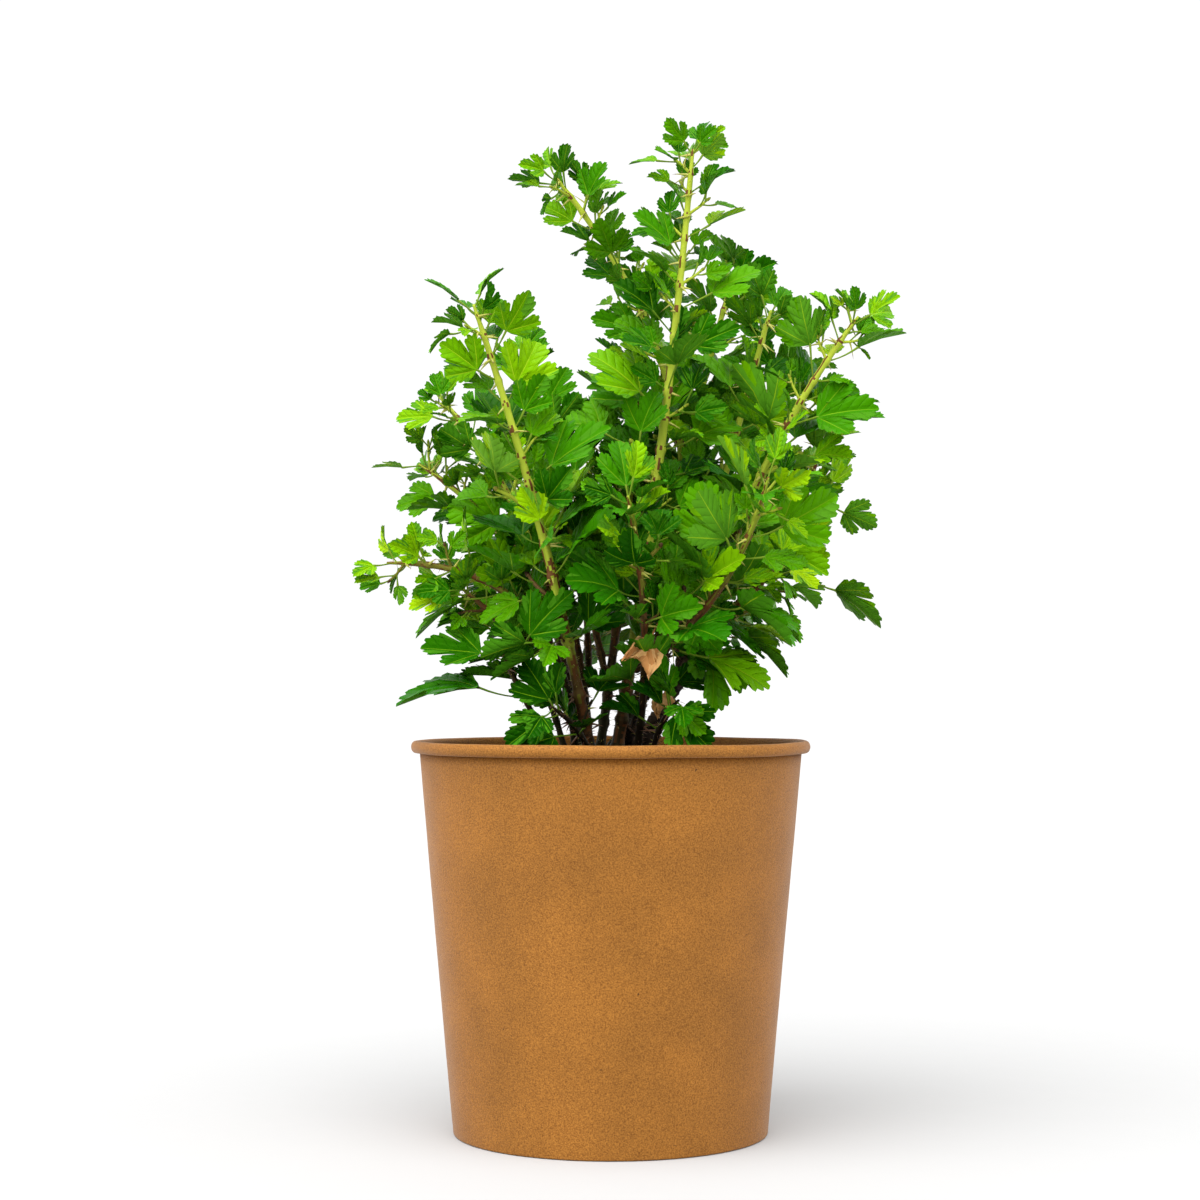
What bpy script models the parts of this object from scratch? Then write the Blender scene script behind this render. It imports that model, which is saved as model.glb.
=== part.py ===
"""A young gooseberry bush in a paper pot.

Metres, +Z up. The origin is the centre of the pot's flat underside, and -Y is the front.
Each cane is a bare tapering limb that ends where it enters its own mass of foliage.
A mass is a stem with side twigs and lobed leaves, placed by a seeded rule and fused into one solid.
"""

import math
import random
from typing import NamedTuple

import bmesh
import bpy
import numpy as np
from mathutils import Vector
from mathutils.bvhtree import BVHTree

OBJECT = "gooseberry_bush"
GAP = 0.0003  # between pieces that touch
WELD = 0.00001  # corners closer than this are one
ROUND_STEPS = 40  # sides of the pot and the soil

# Pot
POT_HEIGHT = 0.190
POT_FOOT_RADIUS = 0.0765
POT_TOP_RADIUS = 0.0938  # outside of the wall, carried on up to the rim's top
POT_WALL = 0.0008
POT_FLOOR = 0.0015
POT_FOOT_ROUND = 0.0008
RIM_RADIUS = 0.0975  # outside of the rolled rim
RIM_DEEP = 0.0059
RIM_WIDE = 0.0045
RIM_ARC_STEPS = 7

# Soil
SOIL_TOP = 0.177
SOIL_SHOULDER = 0.003  # how far the soil's edge lies below its middle
SOIL_FLAT = 0.72  # share of its radius that is flat

# Limbs and stems
FOOT_RISE = 0.0025  # a limb leaves the soil upright, for this far
FORK_RISE = 0.0015  # and another limb square to it, for this far
FLARE = 0.5  # how much thicker a limb is at the soil
FLARE_HEIGHT = 0.004
TIP_RADIUS = 0.0013
LIMB_STEP = 0.013  # between the points of a bare limb
STEM_STEP = 0.020  # between the points of a leafy stem
LIMB_SIDES = 1  # a curve's bevel resolution: 1 gives six sides
STEM_SIDES = 0  # and 0 gives four

# Twigs
TWIG_RADIUS = 0.0011
TWIG_TAPER = 0.8
TWIG_SIDES = 4
TWIG_SHORTEST = 0.016
TWIG_LONGEST = 0.034
TWIG_EVERY = 3  # nodes from one side twig to the next
TWIGS_END = 0.75  # share of a stem above which it has none
TWIG_LEAVES = (0.45, 0.78, 0.95)  # where they stand along a twig
TWIG_ALONG, TWIG_OUT, TWIG_LIFT = 0.75, 0.8, 0.1  # a twig heads on, out and up by these shares
TWIG_SHRINK = 1.1  # less its share of the way up: a twig's length
TWIG_LEAF_SIZE = 0.85
TWIG_LEAF_AHEAD = 0.25  # its leaves are like those of this much further up the stem

# Leaves
LEAF_LENGTH = 0.031  # the largest, from its stalk to its tip
LEAF_THICK = 0.0008  # at the middle, from which a leaf thins out to its edge
LEAF_CENTRE = 0.16  # where its veins part, as a share of its length
LEAF_HALF = (  # the right half's corners, from the stalk to the tip: across, along, up
    (0.03, 0.00, 0.00),
    (0.57, 0.45, 0.12),
    (0.25, 0.58, 0.02),
    (0.17, 0.97, -0.04),
)
STALK_HALF_WIDTH = 0.00045
STALK_DEPTH = 0.0007
STALK_CLEAR = 0.3  # share of a stalk or twig at its foot that may touch other shapes
SWELL = 2.4  # a new leaf is tested for room at this many times its thickness
TEST_SWELL = 1.3  # and against limbs and twigs at this many times theirs
TRIES = 8
TRY_TURN = 0.35  # each try may turn this much more round the stem
TRY_SHRINK = 0.05  # and is this much smaller
LOWEST_LEAF = POT_HEIGHT + 0.0025

# How the leaves follow each other
GOLDEN_ANGLE = math.radians(137.5)  # from each leaf to the next round a stem
FIRST_NODE = 0.006  # from the start of a stem
NODE_STEP_LOW = 0.0175  # between leaves along a stem, at its start
NODE_STEP_HIGH = 0.0095  # and at its tip
TUFT = 3  # leaves at each tip
TUFT_STEP = 0.004
TUFT_START = 0.0016  # below the tip
TUFT_LEAF_SIZE = 0.95
SIZE_PLACES = (0.0, 0.4, 1.0)  # shares of the way up a mass
SIZES = (0.92, 1.02, 0.51)  # and the size of the leaves there

# How a leaf stands
SPREAD_LOW = math.radians(66.0)  # a stalk's angle to its stem, low on a mass
SPREAD_HIGH = math.radians(40.0)  # and at the tip
SPREAD_LOOSE = math.radians(12.0)
SIZE_LOOSE = (0.82, 1.14)
STALK_LENGTH = (0.40, 0.75)  # as a share of the leaf's own
BLADE_OUT = 0.25  # how far a blade turns out from its stalk
BLADE_UP = 0.20  # and up
BLADE_LOOSE = 0.25
FACE_UP = Vector((0.0, -0.25, 0.55))  # a leaf's face turns up and a little to the front
FACE_AWAY = 0.4  # and away from the middle of the bush
FACE_LOOSE = 0.75
FRONT_SHARE = 0.3  # a leaf or twig that would grow to the front does so by this share
MIDDLE = Vector((0.0, 0.03, 0.0))

# Colours are linear: red, green, blue
KRAFT = (0.47, 0.22, 0.075)
EARTH = (0.03, 0.02, 0.013)
BARK = (0.07, 0.035, 0.017)
LEAF_GREEN = (0.09, 0.28, 0.015)


class Cane(NamedTuple):
    """One cane: where it starts, a point it passes, its tip, and how it is clothed."""

    foot: tuple  # x and y on the soil, or the limb that it forks from and the share along it
    way: tuple
    tip: tuple
    radius: float  # at its foot
    bare: float  # share of its length below its leaves
    size: float = 1.0  # of its leaves
    droop: float = 0.0  # how far its leaves hang


OLD_LIMBS = {
    "old_right": Cane((0.014, 0.001), (0.026, 0.006, 0.206), (0.044, 0.012, 0.236), 0.0038, 1.0),
    "old_middle": Cane((0.008, 0.016), (0.014, 0.024, 0.206), (0.027, 0.03, 0.234), 0.0031, 1.0),
}

CANES = {
    "front_left": Cane((-0.009, -0.018), (-0.026, -0.042, 0.263), (-0.064, -0.062, 0.395), 0.003, 0.24),
    "tall": Cane((0.002, -0.013), (0.021, -0.02, 0.306), (0.04, -0.02, 0.477), 0.0031, 0.22),
    "right": Cane(("old_right", 1.0), (0.074, -0.02, 0.321), (0.119, -0.03, 0.394), 0.0026, 0.12),
    "back_top": Cane((-0.003, 0.012), (0.036, 0.03, 0.33), (-0.028, 0.02, 0.472), 0.0025, 0.26, 0.9),
    "left_low": Cane(
        (-0.017, -0.003), (-0.053, -0.02, 0.263), (-0.108, -0.02, 0.276), 0.0021, 0.36, 0.8, 0.3
    ),
    "left_mid": Cane((-0.016, 0.012), (-0.058, 0.04, 0.296), (-0.098, 0.05, 0.33), 0.0021, 0.33, 0.9),
    "left_upper": Cane(("left_mid", 0.75), (-0.052, 0.02, 0.314), (-0.086, 0.03, 0.362), 0.0018, 0.14, 0.9),
    "mid_right": Cane(("old_right", 0.8), (0.057, 0.03, 0.32), (0.081, 0.03, 0.406), 0.0023, 0.14),
    "right_outer": Cane(("old_right", 0.66), (0.082, 0.038, 0.287), (0.118, 0.046, 0.362), 0.0021, 0.24),
    "right_low": Cane(
        ("old_right", 0.9), (0.06, -0.026, 0.254), (0.079, -0.038, 0.272), 0.0018, 0.14, 1.0, 0.5
    ),
    "front_right": Cane(("tall", 0.7), (0.046, -0.048, 0.255), (0.072, -0.086, 0.312), 0.0018, 0.12, 1.1),
    "front_middle": Cane((0.012, -0.016), (0.016, -0.046, 0.24), (0.008, -0.08, 0.304), 0.002, 0.25, 1.1),
    "centre": Cane((-0.006, 0.0), (0.012, 0.046, 0.33), (0.019, 0.058, 0.418), 0.0024, 0.26),
    "left_inner": Cane(("centre", 0.75), (-0.028, 0.03, 0.325), (-0.046, 0.04, 0.385), 0.0018, 0.14, 0.9),
    "right_back": Cane(("old_middle", 1.0), (0.041, 0.07, 0.34), (0.066, 0.075, 0.435), 0.0023, 0.14),
    "back_left": Cane((-0.01, 0.023), (-0.03, 0.07, 0.29), (-0.05, 0.092, 0.344), 0.0021, 0.28),
    "back_far": Cane(("old_middle", 0.75), (0.03, 0.08, 0.27), (0.038, 0.112, 0.344), 0.0019, 0.18),
    "back_right": Cane(("right_back", 0.75), (0.066, 0.085, 0.32), (0.09, 0.106, 0.386), 0.0018, 0.1),
    "back_middle": Cane(("back_left", 0.8), (-0.012, 0.08, 0.3), (-0.008, 0.096, 0.362), 0.0018, 0.12),
    "left_shoot": Cane(
        (-0.021, -0.014), (-0.042, -0.014, 0.232), (-0.072, -0.022, 0.264), 0.0015, 0.34, 0.95
    ),
    "low_left": Cane(
        (-0.022, -0.024), (-0.038, -0.03, 0.205), (-0.052, -0.034, 0.234), 0.0014, 0.5, 1.3, 0.1
    ),
    "low_front": Cane(
        (-0.008, -0.026), (-0.016, -0.038, 0.196), (-0.028, -0.05, 0.207), 0.0014, 0.3, 0.9, 0.2
    ),
    "low_right": Cane((0.019, -0.025), (0.024, -0.036, 0.198), (0.032, -0.05, 0.21), 0.0014, 0.3, 0.9, 0.3),
}


def clear_scene():
    for thing in list(bpy.context.scene.objects):
        bpy.data.objects.remove(thing)


def make_material(name, colour, roughness):
    made = bpy.data.materials.new(name)
    made.use_nodes = True
    shader = made.node_tree.nodes["Principled BSDF"]
    shader.inputs["Base Color"].default_value = (*colour, 1.0)
    shader.inputs["Roughness"].default_value = roughness
    shader.inputs["Metallic"].default_value = 0.0
    return made


def make_collection(name):
    made = bpy.data.collections.new(name)
    bpy.context.scene.collection.children.link(made)
    return made


def evaluated_mesh(thing):
    """A new mesh of an object with its modifiers or its curve's bevel applied."""
    bpy.context.view_layer.update()
    return bpy.data.meshes.new_from_object(thing.evaluated_get(bpy.context.evaluated_depsgraph_get()))


def turned(name, profile, coat, collection):
    """A solid of revolution, from a profile that starts and ends on the axis."""
    shape = bmesh.new()
    corners = [shape.verts.new((radius, 0.0, height)) for radius, height in profile]
    for first, second in zip(corners, corners[1:]):
        shape.edges.new((first, second))
    mesh = bpy.data.meshes.new(name)
    shape.to_mesh(mesh)
    shape.free()
    mesh.materials.append(coat)
    made = bpy.data.objects.new(name, mesh)
    collection.objects.link(made)
    screw = made.modifiers.new("turn", "SCREW")
    screw.steps = ROUND_STEPS
    screw.render_steps = ROUND_STEPS
    screw.use_merge_vertices = True
    screw.merge_threshold = 0.0001


def wall_radius(height):
    """Outside radius of the pot's wall, without its rim."""
    return POT_FOOT_RADIUS + (POT_TOP_RADIUS - POT_FOOT_RADIUS) * height / POT_HEIGHT


def make_pot(coat, collection):
    """A tapered paper bucket with a flat floor and a rolled rim."""
    bead_radius = RIM_RADIUS - RIM_WIDE / 2
    bead_height = POT_HEIGHT - RIM_DEEP / 2
    profile = [(0.0, POT_FLOOR), (wall_radius(POT_FLOOR) - POT_WALL, POT_FLOOR)]
    for step in range(RIM_ARC_STEPS + 1):
        turn = math.radians(180.0 - 270.0 * step / RIM_ARC_STEPS)
        across, up = RIM_WIDE / 2 * math.cos(turn), RIM_DEEP / 2 * math.sin(turn)
        profile.append((bead_radius + across, bead_height + up))
    under_rim = POT_HEIGHT - RIM_DEEP
    profile += [
        (wall_radius(under_rim), under_rim),
        (wall_radius(POT_FOOT_ROUND), POT_FOOT_ROUND),
        (POT_FOOT_RADIUS - POT_FOOT_ROUND, 0.0),
        (0.0, 0.0),
    ]
    turned("pot", profile, coat, collection)


def make_soil(coat, collection):
    """The potting soil, which fills the pot to a little below its rim."""
    def inside(height):
        return wall_radius(height) - POT_WALL - GAP

    edge = SOIL_TOP - SOIL_SHOULDER
    low = POT_FLOOR + GAP
    profile = [
        (0.0, SOIL_TOP),
        (inside(SOIL_TOP) * SOIL_FLAT, SOIL_TOP),
        (inside(edge), edge),
        (inside(low), low),
        (0.0, low),
    ]
    turned("soil", profile, coat, collection)


class Axis:
    """A smooth line through three points, measured by the distance along it."""

    STEPS = 40

    def __init__(self, start, way, tip):
        near = (way - start).length
        share = near / (near + (tip - way).length)
        rest = 1.0 - share
        pull = (way - start * rest ** 2 - tip * share ** 2) / (2.0 * share * rest)
        self.points = []
        for step in range(self.STEPS + 1):
            t = step / self.STEPS
            self.points.append(start * (1 - t) ** 2 + pull * (2 * t * (1 - t)) + tip * t ** 2)
        self.marks = [0.0]
        for first, second in zip(self.points, self.points[1:]):
            self.marks.append(self.marks[-1] + (second - first).length)
        self.length = self.marks[-1]

    def at(self, distance):
        """The point at a distance along the line, and the line's direction there."""
        step = 0
        while step < self.STEPS - 1 and self.marks[step + 1] < distance:
            step += 1
        first, second = self.points[step], self.points[step + 1]
        share = (distance - self.marks[step]) / (self.marks[step + 1] - self.marks[step])
        return first.lerp(second, share), (second - first).normalized()


def radius_at(cane, axis, distance):
    """A cane tapers evenly from its foot to its tip."""
    share = min(1.0, distance / axis.length)
    return cane.radius + (TIP_RADIUS - cane.radius) * share


def lay_out(canes):
    """Each cane's foot, and the line that it follows after its short square start."""
    feet, axes = {}, {}
    for name, cane in canes.items():
        way, tip = Vector(cane.way), Vector(cane.tip)
        if isinstance(cane.foot[0], str):
            parent, share = cane.foot
            distance = axes[parent].length * canes[parent].bare * share
            point, along = axes[parent].at(distance)
            if share < 1.0:
                side = way - point
                side = (side - along * side.dot(along)).normalized()
                clear = radius_at(canes[parent], axes[parent], distance) + GAP
            else:
                side, clear = along, GAP
            feet[name] = point + side * clear
            axes[name] = Axis(feet[name] + side * FORK_RISE, way, tip)
        else:
            feet[name] = Vector((*cane.foot, SOIL_TOP + GAP))
            axes[name] = Axis(feet[name] + Vector((0.0, 0.0, FOOT_RISE)), way, tip)
    return feet, axes


def limb_line(cane, foot, axis):
    """Points and radii of a cane's bare part, which flares where it leaves the soil."""
    flare = 0.0 if isinstance(cane.foot[0], str) else FLARE
    end = axis.length * cane.bare
    count = max(2, round(end / LIMB_STEP))
    points, radii = [foot], [cane.radius * (1.0 + flare)]
    for step in range(count + 1):
        distance = end * step / count
        points.append(axis.at(distance)[0])
        spread = flare * math.exp(-(distance + FOOT_RISE) / FLARE_HEIGHT)
        radii.append(radius_at(cane, axis, distance) * (1.0 + spread))
    return points, radii


def stem_line(cane, axis):
    """Points and radii of the stem that runs on from the bare part to the tip."""
    begin = axis.length * cane.bare + GAP
    count = max(3, round((axis.length - begin) / STEM_STEP))
    points, radii = [], []
    for step in range(count + 1):
        distance = begin + (axis.length - begin) * step / count
        points.append(axis.at(distance)[0])
        radii.append(radius_at(cane, axis, distance))
    return points, radii


def make_tube(name, line, sides, coat, collection):
    """A tapering limb: a curve with a round bevel and filled caps, made a mesh and welded."""
    points, radii = line
    curve = bpy.data.curves.new(name, "CURVE")
    curve.dimensions = "3D"
    curve.bevel_depth = 1.0
    curve.bevel_resolution = sides
    curve.use_fill_caps = True
    spline = curve.splines.new("POLY")
    spline.points.add(len(points) - 1)
    for corner, point, radius in zip(spline.points, points, radii):
        corner.co = (*point, 1.0)
        corner.radius = radius
    drawn = bpy.data.objects.new(name + "_line", curve)
    collection.objects.link(drawn)
    mesh = evaluated_mesh(drawn)
    shape = bmesh.new()
    shape.from_mesh(mesh)
    bmesh.ops.remove_doubles(shape, verts=shape.verts, dist=WELD)
    bmesh.ops.triangulate(shape, faces=shape.faces)
    shape.to_mesh(mesh)
    shape.free()
    mesh.shade_smooth()
    mesh.materials.append(coat)
    made = bpy.data.objects.new(name, mesh)
    made.matrix_world = drawn.matrix_world
    collection.objects.link(made)
    bpy.data.objects.remove(drawn)
    return made


def tube_shape(points, radii):
    """Corners and faces of a three-sided tube round a line, to test other shapes against."""
    corners, faces = [], []
    for place, (point, radius) in enumerate(zip(points, radii)):
        ahead = points[min(place + 1, len(points) - 1)] - points[max(place - 1, 0)]
        side = ahead.orthogonal().normalized()
        other = ahead.normalized().cross(side)
        for third in range(3):
            turn = 2.0 * math.pi * third / 3
            out = side * math.cos(turn) + other * math.sin(turn)
            corners.append(point + out * radius * TEST_SWELL)
    for ring in range(len(points) - 1):
        for third in range(3):
            here, beside = 3 * ring + third, 3 * ring + (third + 1) % 3
            faces.append((here, beside, beside + 3, here + 3))
    return corners, faces


class Leaf(NamedTuple):
    """One leaf: its stalk runs from foot to joint, and its blade on from there."""

    foot: Vector
    joint: Vector
    along: Vector
    up: Vector
    length: float


class LeafPattern:
    """A lens with the leaf's outline for its rim, and one edge of the rim drawn out as a stalk."""

    def __init__(self):
        self.outline = list(LEAF_HALF) + [(-x, y, z) for x, y, z in reversed(LEAF_HALF)]
        count = len(self.outline)
        shape = bmesh.new()
        part = shape.verts.layers.int.new("part")
        bmesh.ops.create_uvsphere(shape, u_segments=count, v_segments=2, radius=1.0)
        rim = sorted(shape.verts, key=lambda corner: math.atan2(corner.co.y, corner.co.x))
        top = max(rim, key=lambda corner: corner.co.z)
        low = min(rim, key=lambda corner: corner.co.z)
        rim.remove(top)
        rim.remove(low)
        for number, corner in enumerate(rim):
            corner[part] = number
        self.top, self.low, self.stalk = count, count + 1, count + 2
        top[part], low[part] = self.top, self.low
        base = [face for face in top.link_faces if rim[0] in face.verts and rim[-1] in face.verts]
        drawn = bmesh.ops.extrude_face_region(shape, geom=base)
        for corner in drawn["geom"]:
            if isinstance(corner, bmesh.types.BMVert):
                corner[part] += self.stalk
        bmesh.ops.delete(shape, geom=[face for face in base if face.is_valid], context="FACES_ONLY")
        bmesh.ops.triangulate(shape, faces=shape.faces)
        shape.verts.index_update()
        self.parts = [corner[part] for corner in shape.verts]
        self.faces = [tuple(corner.index for corner in face.verts) for face in shape.faces]
        self.mesh = bpy.data.meshes.new("leaf_pattern")
        shape.to_mesh(self.mesh)
        shape.free()

    def fit(self, leaf, swell=1.0, skip=0.0):
        """Where the corners go on this leaf, thickened by swell and with a share of its stalk skipped."""
        across = leaf.along.cross(leaf.up)
        middle = leaf.joint + leaf.along * (LEAF_CENTRE * leaf.length)
        lift = leaf.up * (LEAF_THICK / 2 * swell)
        foot = leaf.foot.lerp(leaf.joint, skip)
        stalk = (leaf.joint - leaf.foot).normalized()
        right = (across - stalk * across.dot(stalk)).normalized() * STALK_HALF_WIDTH
        rise = right.cross(stalk).normalized() * STALK_DEPTH
        places = {
            self.top: middle + lift,
            self.low: middle - lift,
            self.stalk: foot + right - rise / 3,
            self.stalk + len(self.outline) - 1: foot - right - rise / 3,
            self.stalk + self.top: foot + rise * 2 / 3,
        }
        for number, (x, y, z) in enumerate(self.outline):
            places[number] = leaf.joint + (across * x + leaf.along * y + leaf.up * z) * leaf.length
        return [places[part] for part in self.parts]


class Crowd:
    """The shapes placed so far, which a new one has to stay clear of."""

    def __init__(self):
        self.shapes = []

    @staticmethod
    def ball(corners):
        middle = sum(corners, Vector()) / len(corners)
        return middle, max((corner - middle).length for corner in corners)

    def add(self, corners, faces):
        self.shapes.append((*self.ball(corners), BVHTree.FromPolygons(corners, faces)))

    def has_room(self, corners, faces):
        """Whether a shape stays above the pot and the soil, and touches nothing placed so far."""
        for corner in corners:
            outside = math.hypot(corner.x, corner.y) > POT_FOOT_RADIUS
            if corner.z < (LOWEST_LEAF if outside else SOIL_TOP + 2 * GAP):
                return False
        middle, reach = self.ball(corners)
        tree = BVHTree.FromPolygons(corners, faces)
        for other_middle, other_reach, other in self.shapes:
            if (other_middle - middle).length < reach + other_reach and tree.overlap(other):
                return False
        return True


class Site(NamedTuple):
    """Where a leaf or twig starts: on a stem, at a turn round it, and some way up the mass."""

    foot: Vector
    along: Vector
    turn: float
    share: float

    def outward(self):
        """The turn's direction, pressed to the sides where it would hide the stem from the front."""
        side = self.along.orthogonal().normalized()
        out = side * math.cos(self.turn) + self.along.cross(side) * math.sin(self.turn)
        if out.y < 0.0:
            out.y *= FRONT_SHARE
        return (out - self.along * out.dot(self.along)).normalized()


def draw_leaf(dice, site, size, droop):
    """A leaf on a rising stalk, which turns its face up and out of the bush, more or less."""
    out = site.outward()
    spread = SPREAD_LOW + (SPREAD_HIGH - SPREAD_LOW) * site.share
    spread += dice.uniform(-SPREAD_LOOSE, SPREAD_LOOSE)
    stalk = (site.along * math.cos(spread) + out * math.sin(spread)).normalized()
    usual = float(np.interp(site.share, SIZE_PLACES, SIZES))
    length = LEAF_LENGTH * size * usual * dice.uniform(*SIZE_LOOSE)
    joint = site.foot + stalk * length * dice.uniform(*STALK_LENGTH)
    rise = BLADE_UP - droop + dice.uniform(-BLADE_LOOSE, BLADE_LOOSE)
    blade = (stalk + out * BLADE_OUT + Vector((0.0, 0.0, rise))).normalized()
    away = (joint - MIDDLE) * Vector((1.0, 1.0, 0.0))
    loose = Vector((dice.uniform(-1.0, 1.0), dice.uniform(-1.0, 1.0), dice.uniform(-0.6, 1.0)))
    face = FACE_UP + away.normalized() * FACE_AWAY + loose * FACE_LOOSE
    face = (face - blade * face.dot(blade)).normalized()
    return Leaf(site.foot, joint, blade, face, length)


class Mass:
    """One mass of foliage: the leaves and twigs that a seeded rule gives its stem."""

    def __init__(self, name, cane, axis, crowd, pattern):
        self.name = name
        self.cane = cane
        self.points, self.radii = stem_line(cane, axis)
        self.length = axis.length * (1.0 - cane.bare)
        self.crowd = crowd
        self.pattern = pattern
        self.leaves = []
        self.twigs = []

    def site(self, distance, turn):
        """A place on the stem, some way up its straight runs from one point to the next."""
        share = distance / self.length
        along_runs = share * (len(self.points) - 1)
        run = min(int(along_runs), len(self.points) - 2)
        first, second = self.points[run], self.points[run + 1]
        return Site(first.lerp(second, along_runs - run), (second - first).normalized(), turn, share)

    def add_leaf(self, label, site, size=1.0):
        """Place a leaf where it has room, with another turn and a smaller size at each try."""
        for attempt in range(TRIES):
            dice = random.Random(f"{self.name} {label} {attempt}")
            turn = site.turn + dice.uniform(-TRY_TURN, TRY_TURN) * (1 + attempt)
            shrunk = size * self.cane.size * (1.0 - TRY_SHRINK * attempt)
            leaf = draw_leaf(dice, site._replace(turn=turn), shrunk, self.cane.droop)
            if self.crowd.has_room(self.pattern.fit(leaf, SWELL, STALK_CLEAR), self.pattern.faces):
                self.crowd.add(self.pattern.fit(leaf), self.pattern.faces)
                self.leaves.append(leaf)
                return

    def add_twig(self, label, site):
        """Place a side twig and its leaves, or say that it has no room."""
        dice = random.Random(f"{self.name} twig {label}")
        reach = dice.uniform(TWIG_SHORTEST, TWIG_LONGEST) * (TWIG_SHRINK - site.share)
        heading = site.along * TWIG_ALONG + site.outward() * TWIG_OUT + Vector((0.0, 0.0, TWIG_LIFT))
        heading.normalize()
        end = site.foot + heading * reach
        tested = tube_shape([site.foot.lerp(end, STALK_CLEAR), end], [2 * TWIG_RADIUS] * 2)
        if not self.crowd.has_room(*tested):
            return False
        self.twigs.append((site.foot, end))
        share = site.share + TWIG_LEAF_AHEAD
        for number, place in enumerate(TWIG_LEAVES):
            turn = site.turn + number * GOLDEN_ANGLE
            on_twig = Site(site.foot.lerp(end, place), heading, turn, share)
            self.add_leaf(f"{label} twig {number}", on_twig, TWIG_LEAF_SIZE)
        self.crowd.add(*tube_shape([site.foot, end], [TWIG_RADIUS] * 2))
        return True

    def grow(self):
        """Leaves one by one round the stem, a twig at every third node, and a tuft at the tip."""
        start_turn = random.Random(self.name).uniform(0.0, 2.0 * math.pi)
        distance, node = FIRST_NODE, 0
        while distance < self.length:
            site = self.site(distance, start_turn + node * GOLDEN_ANGLE)
            wants_twig = node % TWIG_EVERY == 1 and site.share < TWIGS_END
            if not (wants_twig and self.add_twig(node, site)):
                self.add_leaf(node, site)
            distance += NODE_STEP_LOW + (NODE_STEP_HIGH - NODE_STEP_LOW) * site.share
            node += 1
        for number in range(TUFT):
            distance = self.length - TUFT_START - TUFT_STEP * number
            site = self.site(distance, number * GOLDEN_ANGLE)
            self.add_leaf(f"tip {number}", site, TUFT_LEAF_SIZE)

    def make_twig(self, foot, end, collection):
        """A tapering twig that starts in the middle of its stem."""
        shape = bmesh.new()
        bmesh.ops.create_cone(
            shape, cap_ends=True, segments=TWIG_SIDES,
            radius1=TWIG_RADIUS, radius2=TWIG_TAPER * TWIG_RADIUS, depth=(end - foot).length,
        )
        mesh = bpy.data.meshes.new("twig")
        shape.to_mesh(mesh)
        shape.free()
        made = bpy.data.objects.new("twig", mesh)
        made.location = (foot + end) / 2
        made.rotation_mode = "QUATERNION"
        made.rotation_quaternion = (end - foot).to_track_quat("Z", "Y")
        collection.objects.link(made)

    def make(self, coat, collection):
        """Fuse the stem, its twigs and its leaves into one solid."""
        line = self.points, self.radii
        stem = make_tube("foliage_" + self.name, line, STEM_SIDES, coat, collection)
        joined = make_collection("joined_to_" + self.name)
        for foot, end in self.twigs:
            self.make_twig(foot, end, joined)
        for leaf in self.leaves:
            mesh = self.pattern.mesh.copy()
            for corner, place in zip(mesh.vertices, self.pattern.fit(leaf)):
                corner.co = place
            joined.objects.link(bpy.data.objects.new("leaf", mesh))
        union = stem.modifiers.new("join", "BOOLEAN")
        union.operation = "UNION"
        union.operand_type = "COLLECTION"
        union.collection = joined
        union.solver = "MANIFOLD"
        fused = evaluated_mesh(stem)
        keep_largest_shell(fused)
        stem.modifiers.remove(union)
        stem.data = fused
        for thing in list(joined.objects):
            bpy.data.objects.remove(thing)
        bpy.data.collections.remove(joined)


def keep_largest_shell(mesh):
    """Cut a fused mesh into triangles, drop its loose scraps and fill its sealed hollows."""
    shape = bmesh.new()
    shape.from_mesh(mesh)
    bmesh.ops.triangulate(shape, faces=shape.faces)
    left = set(shape.faces)
    shells = []
    while left:
        shell = [left.pop()]
        for face in shell:
            for edge in face.edges:
                for other in edge.link_faces:
                    if other in left:
                        left.remove(other)
                        shell.append(other)
        shells.append(shell)
    shells.sort(key=len)
    for shell in shells[:-1]:
        bmesh.ops.delete(shape, geom=shell, context="FACES")
    shape.to_mesh(mesh)
    shape.free()


def main():
    clear_scene()
    plant = make_collection(OBJECT)
    kraft = make_material("kraft_paper", KRAFT, 0.75)
    earth = make_material("potting_soil", EARTH, 0.95)
    bark = make_material("bark", BARK, 0.8)
    green = make_material("leaf", LEAF_GREEN, 0.45)
    make_pot(kraft, plant)
    make_soil(earth, plant)

    limbs = {**OLD_LIMBS, **CANES}
    feet, axes = lay_out(limbs)
    crowd = Crowd()
    for name, cane in limbs.items():
        line = limb_line(cane, feet[name], axes[name])
        make_tube("stem_" + name, line, LIMB_SIDES, bark, plant)
        crowd.add(*tube_shape(*line))
    for name, cane in CANES.items():
        crowd.add(*tube_shape(*stem_line(cane, axes[name])))

    pattern = LeafPattern()
    for name, cane in CANES.items():
        mass = Mass(name, cane, axes[name], crowd, pattern)
        mass.grow()
        mass.make(green, plant)
    bpy.data.meshes.remove(pattern.mesh)


main()
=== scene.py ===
"""The looks of a young gooseberry bush in a paper pot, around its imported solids.

Metres, +Z up, in the frame of the solids: the origin is under the middle of the pot, -Y is the front.
The canes, twigs and leaves grow by the same seeded rule as the solids, and then more finely.
"""

import math
import random
from typing import NamedTuple

import bmesh
import bpy
import numpy as np
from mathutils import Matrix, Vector, noise
from mathutils.bvhtree import BVHTree


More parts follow.
